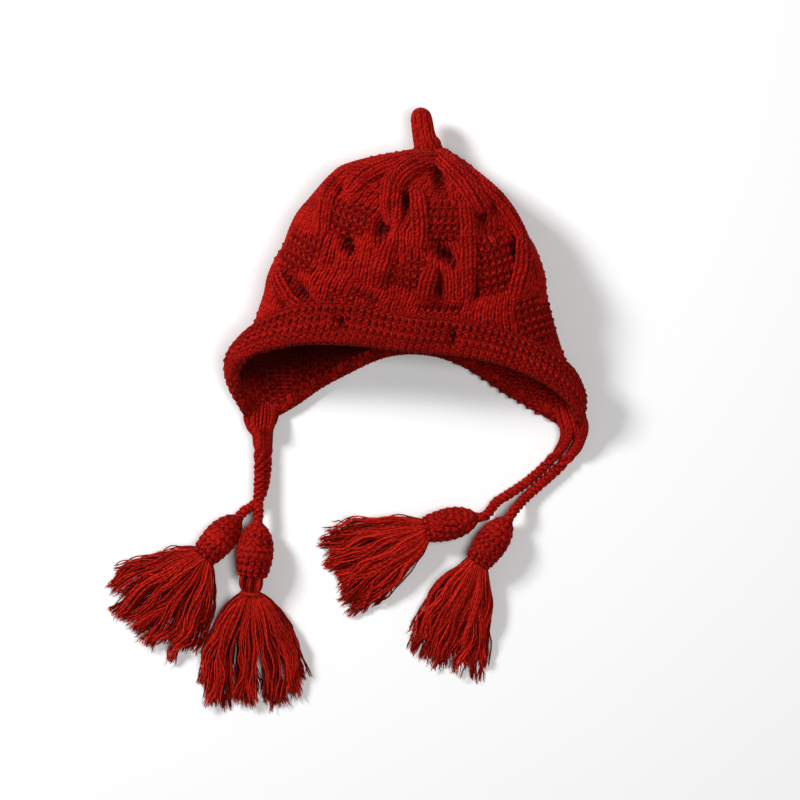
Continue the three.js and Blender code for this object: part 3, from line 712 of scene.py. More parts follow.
def rope(line):
    """A cord of three strands, each of three yarns, twisted round a line, and hardly at its start."""
    along = lengths_along(line)
    full_twist = smooth(along, *PLAIN_RUN)
    twisted = np.diff(along) * (PLAIN_TWIST + (1 - PLAIN_TWIST) * full_twist[1:])
    turns = np.concatenate([[0], np.cumsum(twisted)]) / STRAND_PITCH
    fuller = 1 + PLAIN_FULL * (1 - full_twist)
    across, over = across_and_over(heading(line), UP)
    off_line = []
    for strand in range(CORD_STRANDS):
        turn = (strand / CORD_STRANDS - turns) * TURN
        for yarn in range(STRAND_YARNS):
            spin = turn - (along / YARN_PITCH + yarn / STRAND_YARNS) * TURN
            out = about(turn, across, over) * STRAND_OFF + about(spin, across, over) * YARN_OFF
            off_line.append(out * fuller[:, None])
    off_line = np.array(off_line)
    tubes = Tubes()
    # yarns nearer the cord's middle get painted shade
    off = np.linalg.norm(off_line, axis=2) - STRAND_YARN
    tubes.add(line + off_line, unit(off_line), STRAND_YARN, ROPE_SIDES, off=off)
    return tubes


cord_pieces, cord_lines = {}, {}
for end, route in CORD_ROUTES.items():
    cap_from, cap_to = np.array(CAPS[end][0]), np.array(CAPS[end][1])
    back = unit(cap_from - cap_to)
    route = [*route, cap_from + back * CORD_LEAD, cap_from + back * CORD_GAP]
    cord_lines[end] = curve_through(route, ROPE_POINTS)
    cord_pieces[end] = rope(cord_lines[end]).build(f"rope_{end}", cord_yarn, NO_SHIFT)

# The crown's surface. Its rows of knitting are rings at even distances from the top along the
# surface, so the lowest rows are short ones, in the ears only.
RING_SAMPLES = 720
COLUMNS = 640
COLUMN_SHARES = shares_of(COLUMNS)
REACH_FIRST = 5.0
REACH_LAST = 299.0
REACH_STEP = 1.5
MERIDIAN_SAMPLES = 170
angles = -math.pi / 2 - np.arange(RING_SAMPLES + 1) / RING_SAMPLES * TURN
lowest_y, top_y = BODY["y"][[0, -1]]
down_y = top_y - (top_y - lowest_y) * (1 - np.cos(np.linspace(0, math.pi / 2, MERIDIAN_SAMPLES)))
distance = np.array([lengths_along(meridian) for meridian in body(angles[:, None], down_y)])
rim_y = rim(angles, "fold") + BRIM_FOLD
rim_distance = np.array([np.interp(-y, -down_y, d) for y, d in zip(rim_y, distance)])
whole_distance = rim_distance.min()
reaches = np.arange(REACH_FIRST, REACH_LAST + REACH_STEP, REACH_STEP)
grid_y = np.array([np.interp(reaches, d, down_y) for d in distance])
ring_rows, ring_lengths, ring_angles = [], [], None
for i, far in enumerate(reaches):
    if far < whole_distance or ring_angles is None:
        along = lengths_along(body(angles, grid_y[:, i]))
        ring_angles = np.interp(COLUMN_SHARES * along[-1], along, angles)
    ring_rows.append(body(ring_angles, np.interp(-ring_angles, -angles, grid_y[:, i])))
    ring_lengths.append(along[-1])
column_rim = np.interp(-ring_angles, -angles, rim_distance)
crown = Sheet(np.stack(ring_rows[::-1]), -1)


def share_up(reach):
    """How far up the crown's sheet a distance from its top is."""
    return 1 - (reach - reaches[0]) / (reaches[-1] - reaches[0])


def from_camera(points):
    """Where points are seen by the camera, on the level plane that it is sharp in."""
    scale = (CAMERA_HEIGHT - SHARP_HEIGHT) / (CAMERA_HEIGHT - points[..., 2])
    x = CAMERA_PLACE[0] + (points[..., 0] - CAMERA_PLACE[0]) * scale
    y = CAMERA_PLACE[1] + (points[..., 1] - CAMERA_PLACE[1]) * scale
    return x, y


def off_route(x, y, route):
    """The distance from points to a bent line."""
    nearest = np.full(x.shape, np.inf)
    for (ax, ay), (bx, by) in zip(route, route[1:]):
        dx, dy = bx - ax, by - ay
        s = np.clip(((x - ax) * dx + (y - ay) * dy) / (dx * dx + dy * dy), 0, 1)
        nearest = np.minimum(nearest, np.hypot(x - ax - s * dx, y - ay - s * dy))
    return nearest


def hump(dx, dy):
    return np.exp(-(dx**2) - dy**2)


HOLE_PAINTED_SHADE = 0.9
HOLE_REACH = (0.75, 0.65)
HOLLOW_WIDER = 1.5
PART_SHARE = 0.75
PART_SHARP = 0.8
PART_WIDER = 3
INSIDE_LIT = (62.0, 84.0)
INSIDE_SLANT = 0.2
INSIDE_PLACE = -40.0
DEEP_INSIDE = (-58.0, -30.0)
DEEP_LIT = 0.45


def sculpt(sheet, puffs, bands, dents):
    """Raises the puffs and bands, sinks the holes, parts the knitting beside them and paints shade into the holes."""
    points, normals = sheet.points.copy(), sheet.normals.copy()
    front = smooth(normals[..., 2], 0.0, 0.5)
    x, y = from_camera(points)
    rise, bands_rise, shove = np.zeros((3, *x.shape))
    for px, py, rx, ry, up in zip(*puffs.values()):
        rise += up * hump((x - px) / rx, (y - py) / ry)
    for up, wide, route in bands:
        bands_rise = np.maximum(bands_rise, BAND_SHARE * up * hump(off_route(x, y, route) / wide, 0))
    rise += bands_rise
    for px, py, rx, ry, lean, depth, part in zip(*dents.values()):
        dx, dy = x - px - lean * (y - py), y - py
        rise -= depth * hump(dx / (HOLLOW_WIDER * rx), dy / ry)
        shove += PART_SHARE * part * np.tanh(dx / PART_SHARP) * hump(dx / (PART_WIDER * rx), dy / ry)
        # painted shade in each hole
        hole = np.exp(-(np.abs(dx / (HOLE_REACH[0] * rx)) ** 3) - np.abs(dy / (HOLE_REACH[1] * ry)) ** 3)
        sheet.lit = sheet.lit * (1 - HOLE_PAINTED_SHADE * hole * front)
    points += normals * (rise * front)[..., None]
    points[..., 0] += shove * front
    sheet.points = points
    sheet.refresh()
    sheet.normals = unit(sheet.normals + normals)


sculpt(crown, PUFFS, BANDS, DENTS)
seen_x, seen_y = from_camera(crown.points)
for sx, sy, rx, ry, share in zip(*SHADES.values()):
    crown.lit *= 1 - share * hump((seen_x - sx) / rx, (seen_y - sy) / ry)
# painted shade on the crown's inner side: full light only near the opening's edge, dark further in under the front,
# and partly lit again deep in the hat
lit_inside = smooth(INSIDE_SLANT * (seen_x - INSIDE_PLACE) - seen_y, *INSIDE_LIT)
crown.lit_back = np.maximum(lit_inside, DEEP_LIT * smooth(seen_y, *DEEP_INSIDE))

# Blocks of ridged knitting on the front, where they are seen from the camera
GARTER_BLOCKS = table("x y wide tall lean tilt", [
    (28, 39.5, 36, 34, 0, 0.1), (71, 5, 34, 44, 0, 0.28), (104, -40, 30, 34, -0.2, -0.1),
    (-45, 42, 34, 28, 0.3, -0.2), (-84, 16, 30, 34, 0.5, -0.2), (-4, -1, 36, 24, 0, 0),
    (-43, -19, 36, 8, 0, 0), (27, -31, 38, 5, 0, 0), (70, 32, 12, 10, 0, 0),
])
FRONT_FROM = 0.1
BACK_BLOCKS = 13
BACK_BLOCK_ROWS = 12
BACK_BLOCK_WIDE = 0.72


def crown_chart(row, count):
    """+1 where a row's stitches come to the front of the row below, -1 where they go behind it."""
    u = shares_of(count)
    points, normals = crown.at(u, np.full(count, share_up(row_reach(row))))
    x, y = from_camera(points)
    ridged = np.zeros(count, bool)
    for bx, by, wide, tall, lean, tilt in zip(*GARTER_BLOCKS.values()):
        dx, dy = x - bx - lean * (y - by), y - by - tilt * (x - bx)
        ridged |= (np.abs(dx) < wide / 2) & (np.abs(dy) < tall / 2)
    checks = (np.floor(u * BACK_BLOCKS) + row // BACK_BLOCK_ROWS) % 2 == 0
    checks &= np.abs((u * BACK_BLOCKS) % 1 - 0.5) < BACK_BLOCK_WIDE / 2
    ridged = np.where(normals[:, 2] > FRONT_FROM, ridged, checks)
    return np.where(ridged & (row % 2 == 0), -1.0, 1.0)


TOP_REACH = 12.0
SEGMENTS = 8
YARN_SIDES = 5
LOOP_WIDE = 0.24
RIDGE_WIDE = 0.1
HEAD_FULL = 0.44
LEG_DRAW = 0.05
LOOP_TALL = 0.86
LOOP_DEEP = 1.6
PLAIN_DEEP = 0.45
PLAIN_SHADE = (1.08, 0.9)
PLAIN_BACK = 2.8
RIDGE_SHADE = 0.8
RIDGE_GAP_SHADE = 0.1
SIDE_CALM = 0.6
RIDGE_PROUD = 0.5
SIZE_CHANCE = 0.05
LEAN_CHANCE = 0.04


def row_reach(row):
    return TOP_REACH + row * ROW_TALL


def knit_row(
    tubes, sheet, v, step, low, high, middle=0.0, span=None, shift=0.0, yarn=YARN, deep=LOOP_DEEP, proud=0.0,
    segments=SEGMENTS, ridge_wide=RIDGE_WIDE, gap_shade=RIDGE_GAP_SHADE,
):
    """A row of loops: low and high say how each stitch passes the rows below and above it. Each yarn gets painted
    shade by how deep it lies, and gap_shade sets it for plain parts between ridges.
    """
    count = len(low)
    first, last = span or (0, count)
    k = np.linspace(first, last, (last - first) * segments + 1)
    if span is None:
        k = k[:-1]
    turn = k * TURN
    size = 1 + SIZE_CHANCE * chance.standard_normal(count)
    lean = LEAN_CHANCE * chance.standard_normal(count)
    nearest = np.round(k).astype(int) % count
    before = np.floor(k).astype(int) % count
    after = (before + 1) % count
    across = smooth(k - np.floor(k), 0.38, 0.62)
    upper = smooth(np.cos(turn), -0.35, 0.35)
    sign_low = low[before] * (1 - across) + low[after] * across
    sign_high = high[before] * (1 - across) + high[after] * across
    sign = sign_high * upper + sign_low * (1 - upper)
    ridged = sign <= 0
    flat = np.where(ridged, 1.0, PLAIN_DEEP)
    depth = -sign * flat * deep * np.cos(2 * turn) - np.minimum(sign, 0) * proud * np.cos(turn)
    wide = np.where(ridged, ridge_wide, LOOP_WIDE) * size[nearest]
    x = k + wide * np.sin(2 * turn) - LEG_DRAW * np.sin(turn) + lean[nearest] + shift
    place = x / count, v + LOOP_TALL * np.cos(turn) * size[nearest] * step
    _, normals = sheet.at(*place)
    depth = depth * (1 - SIDE_CALM * (1 - smooth(np.abs(normals[:, 2]), 0.0, 0.5)))
    points, normals = sheet.at(*place, middle + depth)
    # painted shade: plain parts between ridges and the deep parts of the loops get darker
    mixed = (low * high)[nearest] < 0
    plain = np.where(mixed, gap_shade + 0.5 * depth, PLAIN_SHADE[0] + PLAIN_SHADE[1] * depth)
    off = np.where(ridged, RIDGE_SHADE * depth, plain)
    back = np.where(ridged, -RIDGE_SHADE, -PLAIN_BACK) * depth
    lit, lit_back = sheet.lit_at(*place)
    thick = yarn * (1 + HEAD_FULL * proud * (sign < 0) * upper)
    tubes.add(points, normals, thick, YARN_SIDES, span is None, off, back, lit, lit_back)


def stitches_in(length):
    return max(2, int(round(length / STITCH_WIDE / GORES))) * GORES


def runs(inside):
    """First and last places of each unbroken run of true values."""
    edges = np.flatnonzero(np.diff(np.concatenate([[0], inside.astype(int), [0]])))
    return [(a, b) for a, b in zip(edges[::2], edges[1::2]) if b - a > 3]


MIDDLE = -CROWN_WALL / 2
RIM_TUCK = 0.4
PART_STITCHES = 1900
row_share = ROW_TALL / (reaches[-1] - reaches[0])
crown_parts, part_stitches = [Tubes()], 0
row = 0
while row_reach(row) < column_rim.max() + RIM_TUCK:
    far = row_reach(row)
    count = stitches_in(np.interp(far, reaches, ring_lengths))
    low, high = crown_chart(row, count), crown_chart(row - 1, count)
    if part_stitches > PART_STITCHES:
        crown_parts.append(Tubes())
        part_stitches = 0
    spans = [None]
    if far > whole_distance + RIM_TUCK:
        limit = np.interp(shares_of(count), COLUMN_SHARES, column_rim)
        spans = runs(limit + RIM_TUCK > far)
    for span in spans:
        knit_row(crown_parts[-1], crown, share_up(far), row_share, low, high, MIDDLE, span, proud=RIDGE_PROUD)
        part_stitches += count if span is None else span[1] - span[0]
    row += 1

for number, tubes in enumerate(crown_parts, 1):
    dress(tubes.build(f"crown_knit_{number}", knit_yarn), "crown")

# The crown's lining, a thin skin in the middle of its wall
SKIN_FROM = TOP_REACH - 4.0
SKIN_PAST = 1.5
SKIN_HALF = 0.7
HOLE_SINK = 1.6
skin_s, skin_u = spread_out(50, 150)
skin_rim = np.interp(skin_u[0], COLUMN_SHARES, column_rim) + SKIN_PAST
skin_v = share_up(skin_rim + (SKIN_FROM - skin_rim) * skin_s)
skin_off = MIDDLE - HOLE_SINK * (1 - crown.lit_at(skin_u, skin_v)[0])
lining("crown_lining", "crown", crown, skin_v, skin_u, skin_off + SKIN_HALF, skin_off - SKIN_HALF)

# Cables: narrow strips of plain knitting that lie over the crown and cross it
CABLE_ROW_TALL = 3.3
CABLE_HIGH = 0.4
CABLE_SINK = 0.9
CABLE_DIP = 2.5
CABLE_STITCH = 5.6
CABLE_SEEN = 2.2
CABLE_POINTS = 60
CABLE_COLUMNS = 48
NEAREST = 12


def on_crown(x, y):
    """Points of the crown's face under places seen by the camera, and its normals there."""
    facing = crown.normals[..., 2] > 0.05
    px, py = seen_x[facing], seen_y[facing]
    points, normals = crown.points[facing], crown.normals[facing]
    found = []
    for a, b in zip(x, y):
        near = (px - a) ** 2 + (py - b) ** 2
        some = np.argpartition(near, NEAREST)[:NEAREST]
        weight = 1 / (near[some] + 0.2)
        weight = weight[:, None] / weight.sum()
        found.append(((points[some] * weight).sum(axis=0), (normals[some] * weight).sum(axis=0)))
    points, normals = np.array(found).swapaxes(0, 1)
    return points, unit(normals)


def cable_sheet(route, half_wide):
    """A flattened tube along a bent line on the crown, thinner where it dips in at its ends."""
    flat = curve_through([(x, y, 0) for x, y in route], CABLE_POINTS)
    points, normals = on_crown(flat[:, 0], flat[:, 1])
    for _ in range(6):
        for run in (points, normals):
            run[1:-1] = (run[:-2] + run[1:-1] * 2 + run[2:]) / 4
    normals = unit(normals)
    ends = np.sin(np.linspace(0, math.pi, CABLE_POINTS)) ** 0.45
    points = points - normals * (CABLE_SINK + CABLE_DIP * (1 - ends))[:, None]
    across, over = across_and_over(heading(points), normals)
    wide = half_wide * (0.72 + 0.28 * ends)[:, None] * across
    high = half_wide * CABLE_HIGH * (0.4 + 0.6 * ends)[:, None] * over
    turn = shares_of(CABLE_COLUMNS) * TURN
    return Sheet(points[:, None] + about(turn, wide[:, None], high[:, None])).face_out()


cable_tubes = Tubes()
for half_wide, route in CABLES:
    sheet = cable_sheet(route, half_wide)
    rows = max(4, int(round(lengths_along(sheet.points[:, CABLE_COLUMNS // 4])[-1] / CABLE_ROW_TALL)))
    seen = max(2, int(round(half_wide * CABLE_SEEN / CABLE_STITCH)))
    plain = np.ones(2 * seen)
    for row in range(rows):
        v = (row + 0.5) / rows
        knit_row(cable_tubes, sheet, v, 1 / rows, plain, plain, span=(0, seen), yarn=CABLE_YARN)
dress(cable_tubes.build("cables", knit_yarn), "crown")

# The turned-up brim. It is laid out in four stretches, from the middle of the back to an ear, the
# middle of the front, the other ear and back again.
BRIM_COLUMNS = 640
BRIM_SAMPLES = 140
STRETCHES = np.radians([268.0, 205.0, 110.0, -15.0, -92.0])
STRETCH_SAMPLES = 400


def stretches(column):
    """Each stretch of the fold or the free edge: fine angles and the lengths up to them."""
    fine = [np.linspace(*ends, STRETCH_SAMPLES) for ends in zip(STRETCHES, STRETCHES[1:])]
    return [(stretch, lengths_along(body(stretch, rim(stretch, column)))) for stretch in fine]


def laid_out(column, counts):
    """Angles round the fold or the free edge at even lengths in each stretch."""
    return np.concatenate([
        np.interp(shares_of(many) * along[-1], along, fine)
        for many, (fine, along) in zip(counts, stretches(column))
    ])


def body_normal(angle, y):
    step, length = 0.02, 0.8
    round_way = body(angle + step, y) - body(angle - step, y)
    up_way = body(angle, y + length) - body(angle, y - length)
    return unit(np.cross(up_way, round_way))


def off_body(angle, y, height):
    return body(angle, y) + body_normal(angle, y) * np.asarray(height)[..., None]


BRIM_MIDDLE = BRIM_WALL / 2
FOLD_OUT = BRIM_SEAT + BRIM_MIDDLE
FOLD_PAST = BRIM_FOLD - 2.2
INNER_LIP = 6.0
LIP_IN = 0.8
LIP_RUN = 4.0
fold_lengths = np.array([along[-1] for _, along in stretches("fold")])
counts = np.round(fold_lengths / fold_lengths.sum() * BRIM_COLUMNS).astype(int)
fold_angles, edge_angles = laid_out("fold", counts), laid_out("edge", counts)
fold_y = rim(fold_angles, "fold") + BRIM_FOLD
edge_y, gape = rim(edge_angles, "edge"), rim(edge_angles, "gape")
brim_lines = []
for s in np.linspace(1, 0, 24):
    angle = fold_angles + (edge_angles - fold_angles) * s
    y = fold_y + (edge_y - fold_y) * s
    brim_lines.append(off_body(angle, y, BRIM_SEAT + gape * s + BRIM_MIDDLE))
corner = body(fold_angles, fold_y)
corner_normal = body_normal(fold_angles, fold_y)
along_rim = np.roll(corner, -1, axis=0) - np.roll(corner, 1, axis=0)
down = unit(np.cross(along_rim, corner_normal))
down *= -np.sign(down[:, 1:2])
for bend in np.linspace(0, math.pi, 12)[1:]:
    height = (FOLD_OUT + MIDDLE) / 2 + (FOLD_OUT - MIDDLE) / 2 * math.cos(bend)
    brim_lines.append(corner + corner_normal * height + down * FOLD_PAST * math.sin(bend))
for far in np.linspace(1.5, INNER_LIP, 4):
    brim_lines.append(off_body(fold_angles, fold_y + far, MIDDLE - LIP_IN * smooth(far, 0, LIP_RUN)))
brim_fine = np.stack(brim_lines, axis=1)
brim_points = np.stack([evenly(line, BRIM_SAMPLES) for line in brim_fine], axis=1)
brim = Sheet(brim_points)
BRIM_DENTS = table(
    "x y reach_x reach_y lean depth part",
    [(-52, -42, 3.0, 7, -0.3, 4, 1.5), (38, -53, 2.4, 8, 0, 4, 1.2)],
)
BRIM_PUFFS = table("x y reach_x reach_y rise", [(-75, -45, 14, 10, 1.5), (10, -47, 18, 10, 1.5)])
sculpt(brim, BRIM_PUFFS, [], BRIM_DENTS)
BRIM_ROW_TALL = 3.15
BRIM_STITCH_WIDE = 5.9
BRIM_RIB = 4
BRIM_RIB_ROWS = 3
BRIM_YARN = 1.45
BRIM_DEEP = 1.3
BRIM_GAP_SHADE = 0.6
INSIDE_FROM = 0.76
FOLD_FROM = (0.44, 0.62)
FOLD_YARN = 0.14
FOLD_CALM = 0.75
brim_length = np.median([lengths_along(line)[-1] for line in brim_points.swapaxes(0, 1)])
middle_ring = brim_points[BRIM_SAMPLES // 2]
brim_ring = np.linalg.norm(np.roll(middle_ring, -1, axis=0) - middle_ring, axis=1).sum()
brim_rows = int(round(brim_length / BRIM_ROW_TALL))
brim_count = int(round(brim_ring / BRIM_STITCH_WIDE / BRIM_RIB)) * BRIM_RIB


def brim_chart(row):
    """Ridges along the brim, and broken ribs inside its fold."""
    if (row + 0.5) / brim_rows > INSIDE_FROM:
        return np.where((np.arange(brim_count) + row // BRIM_RIB_ROWS) % BRIM_RIB < 1, 1.0, -1.0)
    return np.full(brim_count, -1.0 if row % 2 else 1.0)


brim_tubes = Tubes()
for row in range(brim_rows):
    v = (row + 0.5) / brim_rows
    calm = smooth(v, *FOLD_FROM)
    depth_share = 1 - FOLD_CALM * calm
    knit_row(
        brim_tubes, brim, v, 1 / brim_rows, brim_chart(row), brim_chart(row + 1),
        yarn=BRIM_YARN * (1 + FOLD_YARN * calm), deep=BRIM_DEEP * depth_share,
        proud=RIDGE_PROUD * depth_share, gap_shade=BRIM_GAP_SHADE,
    )
dress(brim_tubes.build("brim_knit", knit_yarn), "turned_brim")
lining("brim_lining", "turned_brim", brim, *spread_out(34, 180, 0.99), SKIN_HALF, -SKIN_HALF)

# Gathers: at each ear's tip the knitting draws together and its yarns run down over both cords.
# The yarns pass rings, given by their middle and by how far they reach aside and up.
GATHERS = {
    "left": [(-115.5, -105, 5.5, 10, 1.8), (-116.5, -117, 9.5, 12.5, 5.5), (-117, -127, 11.5, 9.8, 6.3)],
    "right": [(130, -108, 7, 8.5, 2), (133.5, -119, 12, 11, 6.5), (136, -129, 12.5, 10, 6.4)],
}
GATHER_YARNS = 26
GATHER_POINTS = 26
GATHER_RADIUS = 1.3
GATHER_CHANCE = 0.05
GATHER_TURN = 0.5
GATHER_DOWN = (9.0, 17.0, 24.0)
GATHER_SINK = (3.6, 3.2, 2.2)
GATHER_SHADE_OFF = 0.6
EAR_END = -128.0
EAR_MIDDLE = 12.0
CORD_MIDDLE = 4.0
gather_turns = (np.arange(GATHER_YARNS) + 0.5) / GATHER_YARNS * TURN
# painted shade that differs from yarn to yarn, as if some lay deeper
gather_shade_off = GATHER_SHADE_OFF + (GATHER_SHADE_OFF * np.arange(GATHER_YARNS)[:, None]) % 2
gather_thick = np.interp(np.linspace(0, 1, GATHER_POINTS), [0, 0.15, 0.85, 1], [0.7, 1, 1, 0.5])


def gather_path(rings, cords, turn):
    """A yarn from a place round the ear's tip down the side of the cord that is nearer."""
    points = []
    for x, y, z, wide, high in rings:
        out = 1 + GATHER_CHANCE * chance.standard_normal()
        points.append((x + wide * math.cos(turn) * out, y, z + high * math.sin(turn) * out))
    to_right = math.cos(turn) > 0
    onto = cords[to_right]
    along, way = lengths_along(onto), heading(onto)
    for far, sink in zip(GATHER_DOWN, GATHER_SINK):
        going = places_on(way, along, far)
        aside = unit(np.cross(UP, going))
        round_cord = 2 * turn - (0 if to_right else math.pi) + GATHER_TURN * far / GATHER_DOWN[-1]
        off = math.cos(round_cord) * aside + math.sin(round_cord) * np.cross(going, aside)
        points.append(places_on(onto, along, far) + sink * off)
    return curve_through(points, GATHER_POINTS)


for ear, rings in GATHERS.items():
    cords = sorted((cord_lines[f"{ear}_{cord}"] for cord in ("near", "far")), key=lambda line: line[0][0])
    paths = np.array([gather_path(rings, cords, turn) for turn in gather_turns])
    on_ear = paths[..., 1] > EAR_END
    centres = paths.copy()
    centres[..., 0] = np.where(on_ear, rings[-1][0], paths[..., 0])
    centres[..., 2] = np.where(on_ear, EAR_MIDDLE, CORD_MIDDLE)
    tubes = Tubes()
    tubes.add(paths, unit(paths - centres + UP / 2), gather_thick * GATHER_RADIUS, 6, off=gather_shade_off)
    dress(tubes.build(f"gather_{ear}", cord_yarn, NO_SHIFT), "turned_brim")

# What the stem and the caps share: they are turned about a line
TURNED_COLUMNS = 64
TURNED_SKIN = (*spread_out(22, 24), 0.2, -1.0)


def turned_sheet(centres, radii, rows):
    """A sheet turned about a line of centres, and its length up its side."""
    across, over = across_and_over(heading(centres), UP)
    turn = shares_of(TURNED_COLUMNS) * TURN
    rings = centres[:, None] + radii[:, None, None] * about(turn, across[:, None], over[:, None])
    points = np.stack([evenly(line, rows) for line in rings.swapaxes(0, 1)], axis=1)
    return Sheet(points).face_out(), lengths_along(points[:, 0])[-1]


# The stem
STEM = table("x y z radius", [
    (17.5, 96.5, 27, 13.2), (17.3, 99.5, 27, 12.2), (15.6, 103, 27, 10.7), (14.2, 109, 26, 10),
    (13.2, 116, 25, 9.8), (12.3, 122, 24, 9.6), (12, 126.4, 23.5, 8.2), (12, 128.9, 23.2, 5.4),
    (12, 129.6, 23.2, 2.0),
])
STEM_YARN_IN = 2.2
STEM_ROW_TALL = 3.6
STEM_ROUND = 10
STEM_TOP_ROUND = 6
STEM_DEEP = 0.9
stem_knots = np.arange(len(STEM["x"]))
stem_at = np.linspace(0, stem_knots[-1], 60)
stem_line = np.stack([STEM[key] for key in "xyz"], axis=1)
stem_radii = np.interp(stem_at, stem_knots, STEM["radius"]) - STEM_YARN_IN
stem, stem_length = turned_sheet(places_on(stem_line, stem_knots, stem_at), stem_radii, 90)
stem_rows = int(round(stem_length / STEM_ROW_TALL))
stem_tubes = Tubes()
for row in range(stem_rows):
    plain = np.ones(STEM_ROUND if row < stem_rows - 2 else STEM_TOP_ROUND)
    knit_row(stem_tubes, stem, (row + 0.5) / stem_rows, 1 / stem_rows, plain, plain, deep=STEM_DEEP)
dress(stem_tubes.build("stem_knit", knit_yarn), "stem")
lining("stem_lining", "stem", stem, *TURNED_SKIN)

# Caps
CAP_YARN_IN = 2.3
CAP_SAMPLES = 80
CAP_ROW_TALL = 5.3
CAP_STITCH_WIDE = 5.9
CAP_LEAST_ROUND = 6
CAP_STITCH = {"yarn": 1.85, "deep": 0.8, "proud": 0.4, "segments": 10, "ridge_wide": 0.03, "gap_shade": 0.9}
cap_pieces = {}
for end, (cap_from, cap_to, wide) in CAPS.items():
    cap_from, cap_to = np.array(cap_from), np.array(cap_to)
    along = np.linspace(0, CAP_LENGTH, CAP_SAMPLES)
    centres = cap_from + (cap_to - cap_from) / CAP_LENGTH * along[:, None]
    radii = read(CAP_ROWS, "along", "radius", along) * wide - CAP_YARN_IN
    sheet, length = turned_sheet(centres, radii, 100)
    rows = int(round(length / CAP_ROW_TALL))
    tubes = Tubes()
    for row in range(rows):
        v = (row + 0.5) / rows
        radius = np.interp(v * CAP_LENGTH, along, radii)
        count = max(CAP_LEAST_ROUND, int(round(TURN * (radius + 2) / CAP_STITCH_WIDE)))
        ones = np.ones(count)
        knit_row(tubes, sheet, v, 1 / rows, ones, -ones, shift=chance.random(), **CAP_STITCH)
    knit = dress(tubes.build(f"cap_{end}_knit", knit_yarn, NO_SHIFT), f"cap_{end}")
    skin = lining(f"cap_{end}_lining", f"cap_{end}", sheet, *TURNED_SKIN, NO_SHIFT)
    cap_pieces[end] = (knit, skin)

# Tassels: yarn ends in twisted locks, which open in a fan on the floor
LOCKS = 26
LOCK_STRANDS = 17
STRANDS = LOCKS * LOCK_STRANDS
STRAND_RADIUS = 0.62
STRAND_LOWEST = STRAND_RADIUS + 0.1
STRAND_SIDES = 3
MOUTH_RADIUS = 6.6
MOUTH_WIDE = 0.85
MOUTH_HIGH = 1.25
LOCK_RADIUS = 2.5
LOCK_WIDE = 1.25
LOCK_HIGH = 0.8
LOCK_BEND = 0.36
LOCK_SWAY = 2.4
LOCK_SPIN = 2.2
PILE = table("high low", [(18, 8), (11.5, 4.5), (5.5, 1.6)])
STRANDS_INSIDE = 9.0
NECK_INSIDE = 4.0
NECK_WIDE = 1.05
NECK_SHADE = 1.1
NECK_BULGE = 0.38
NECK_FOLDS = 7
NECK_FOLD = 0.13
STRAND_SWAY = 0.75
STRAND_DRIFT = 1.2
STRAND_UNEVEN = 1.8
STRAYS = 0.07
SHADE_MIDDLE = 1.0
SHADE_DEEP = 1.6
SHADE_LOWER = 0.9
SHADE_LEAST = 0.1
SHADE_OUTER = 0.8
TAIL_AT = np.array([[-0.15], [0.5], [1.0]])
TAIL_RADIUS = (0.36, 0.26, 0.08)
TAIL_LOWEST = 0.3
TIE_RADIUS = 8.6
TIE_YARN = 0.7
TIE_PLACES = (-0.7, 0.5)
SHARES = np.linspace(0, 1, 19)


def bent(points, shares):
    """Places along many curves, each led by four points."""
    s = shares[None, :, None]
    a, b, c, d = (p[:, None, :] for p in points)
    return (1 - s) ** 3 * a + 3 * (1 - s) ** 2 * s * b + 3 * (1 - s) * s**2 * c + s**3 * d


def direction(angle):
    return np.stack([np.cos(angle), np.sin(angle), np.zeros_like(angle)], axis=-1)


def tassel_locks(tassel, root, aside, above):
    """The locks' middle lines, the ways aside of them, their places in the fan, and which are upper."""
    q = (np.arange(LOCKS) + 0.5) / LOCKS + chance.normal(0, 0.008, LOCKS)
    upper = (np.arange(LOCKS) % 2 == 0).astype(float)
    first, last = np.radians([tassel["first"], tassel["last"]])
    from_middle = first + (last - first) * q - (first + last) / 2
    fan = np.clip(from_middle / abs(last - first) * 2, -1, 1)
    length = np.interp(q, [0, 0.5, 1], tassel["long"]) * (1 + chance.normal(0, 0.06, LOCKS))
    thick = np.sqrt(np.maximum(1 - fan**2 * 0.8, 0.1))
    foot = root + aside * (fan * MOUTH_RADIUS * MOUTH_WIDE)[:, None]
    foot = foot + above * ((upper - 0.5) * MOUTH_RADIUS * MOUTH_HIGH * thick)[:, None]
    middle, (wide, narrow) = (first + last) / 2, tassel["bell"]
    bend = LOCK_BEND * length[:, None]
    one = foot + direction(middle + from_middle * wide) * bend
    tip = root + direction(middle + from_middle) * length[:, None]
    two = tip - direction(middle + from_middle * narrow + chance.normal(0, 0.14, LOCKS)) * bend
    for run, high, low in zip((one, two, tip), *PILE.values()):
        height = (low + (high - low) * upper) * (0.35 + 0.65 * thick)
        run[:, 2] = height * (1 + chance.normal(0, 0.12, LOCKS))
    centres = bent((foot, one, two, tip), SHARES)
    side = np.cross(UP, unit(np.gradient(centres, axis=1)))
    swing, rise, _ = chance.random((3, LOCKS, 1)) * TURN
    pace = 7 + 7 * chance.random((LOCKS, 1))
    swung = LOCK_SWAY * np.sin(pace * SHARES + swing) * (0.15 + 0.85 * SHARES) * (0.4 + 0.6 * upper[:, None])
    centres = centres + side * swung[..., None]
    centres[..., 2] += 0.5 * LOCK_SWAY * np.sin(1.3 * pace * SHARES + rise) * SHARES
    return centres, side, fan, upper


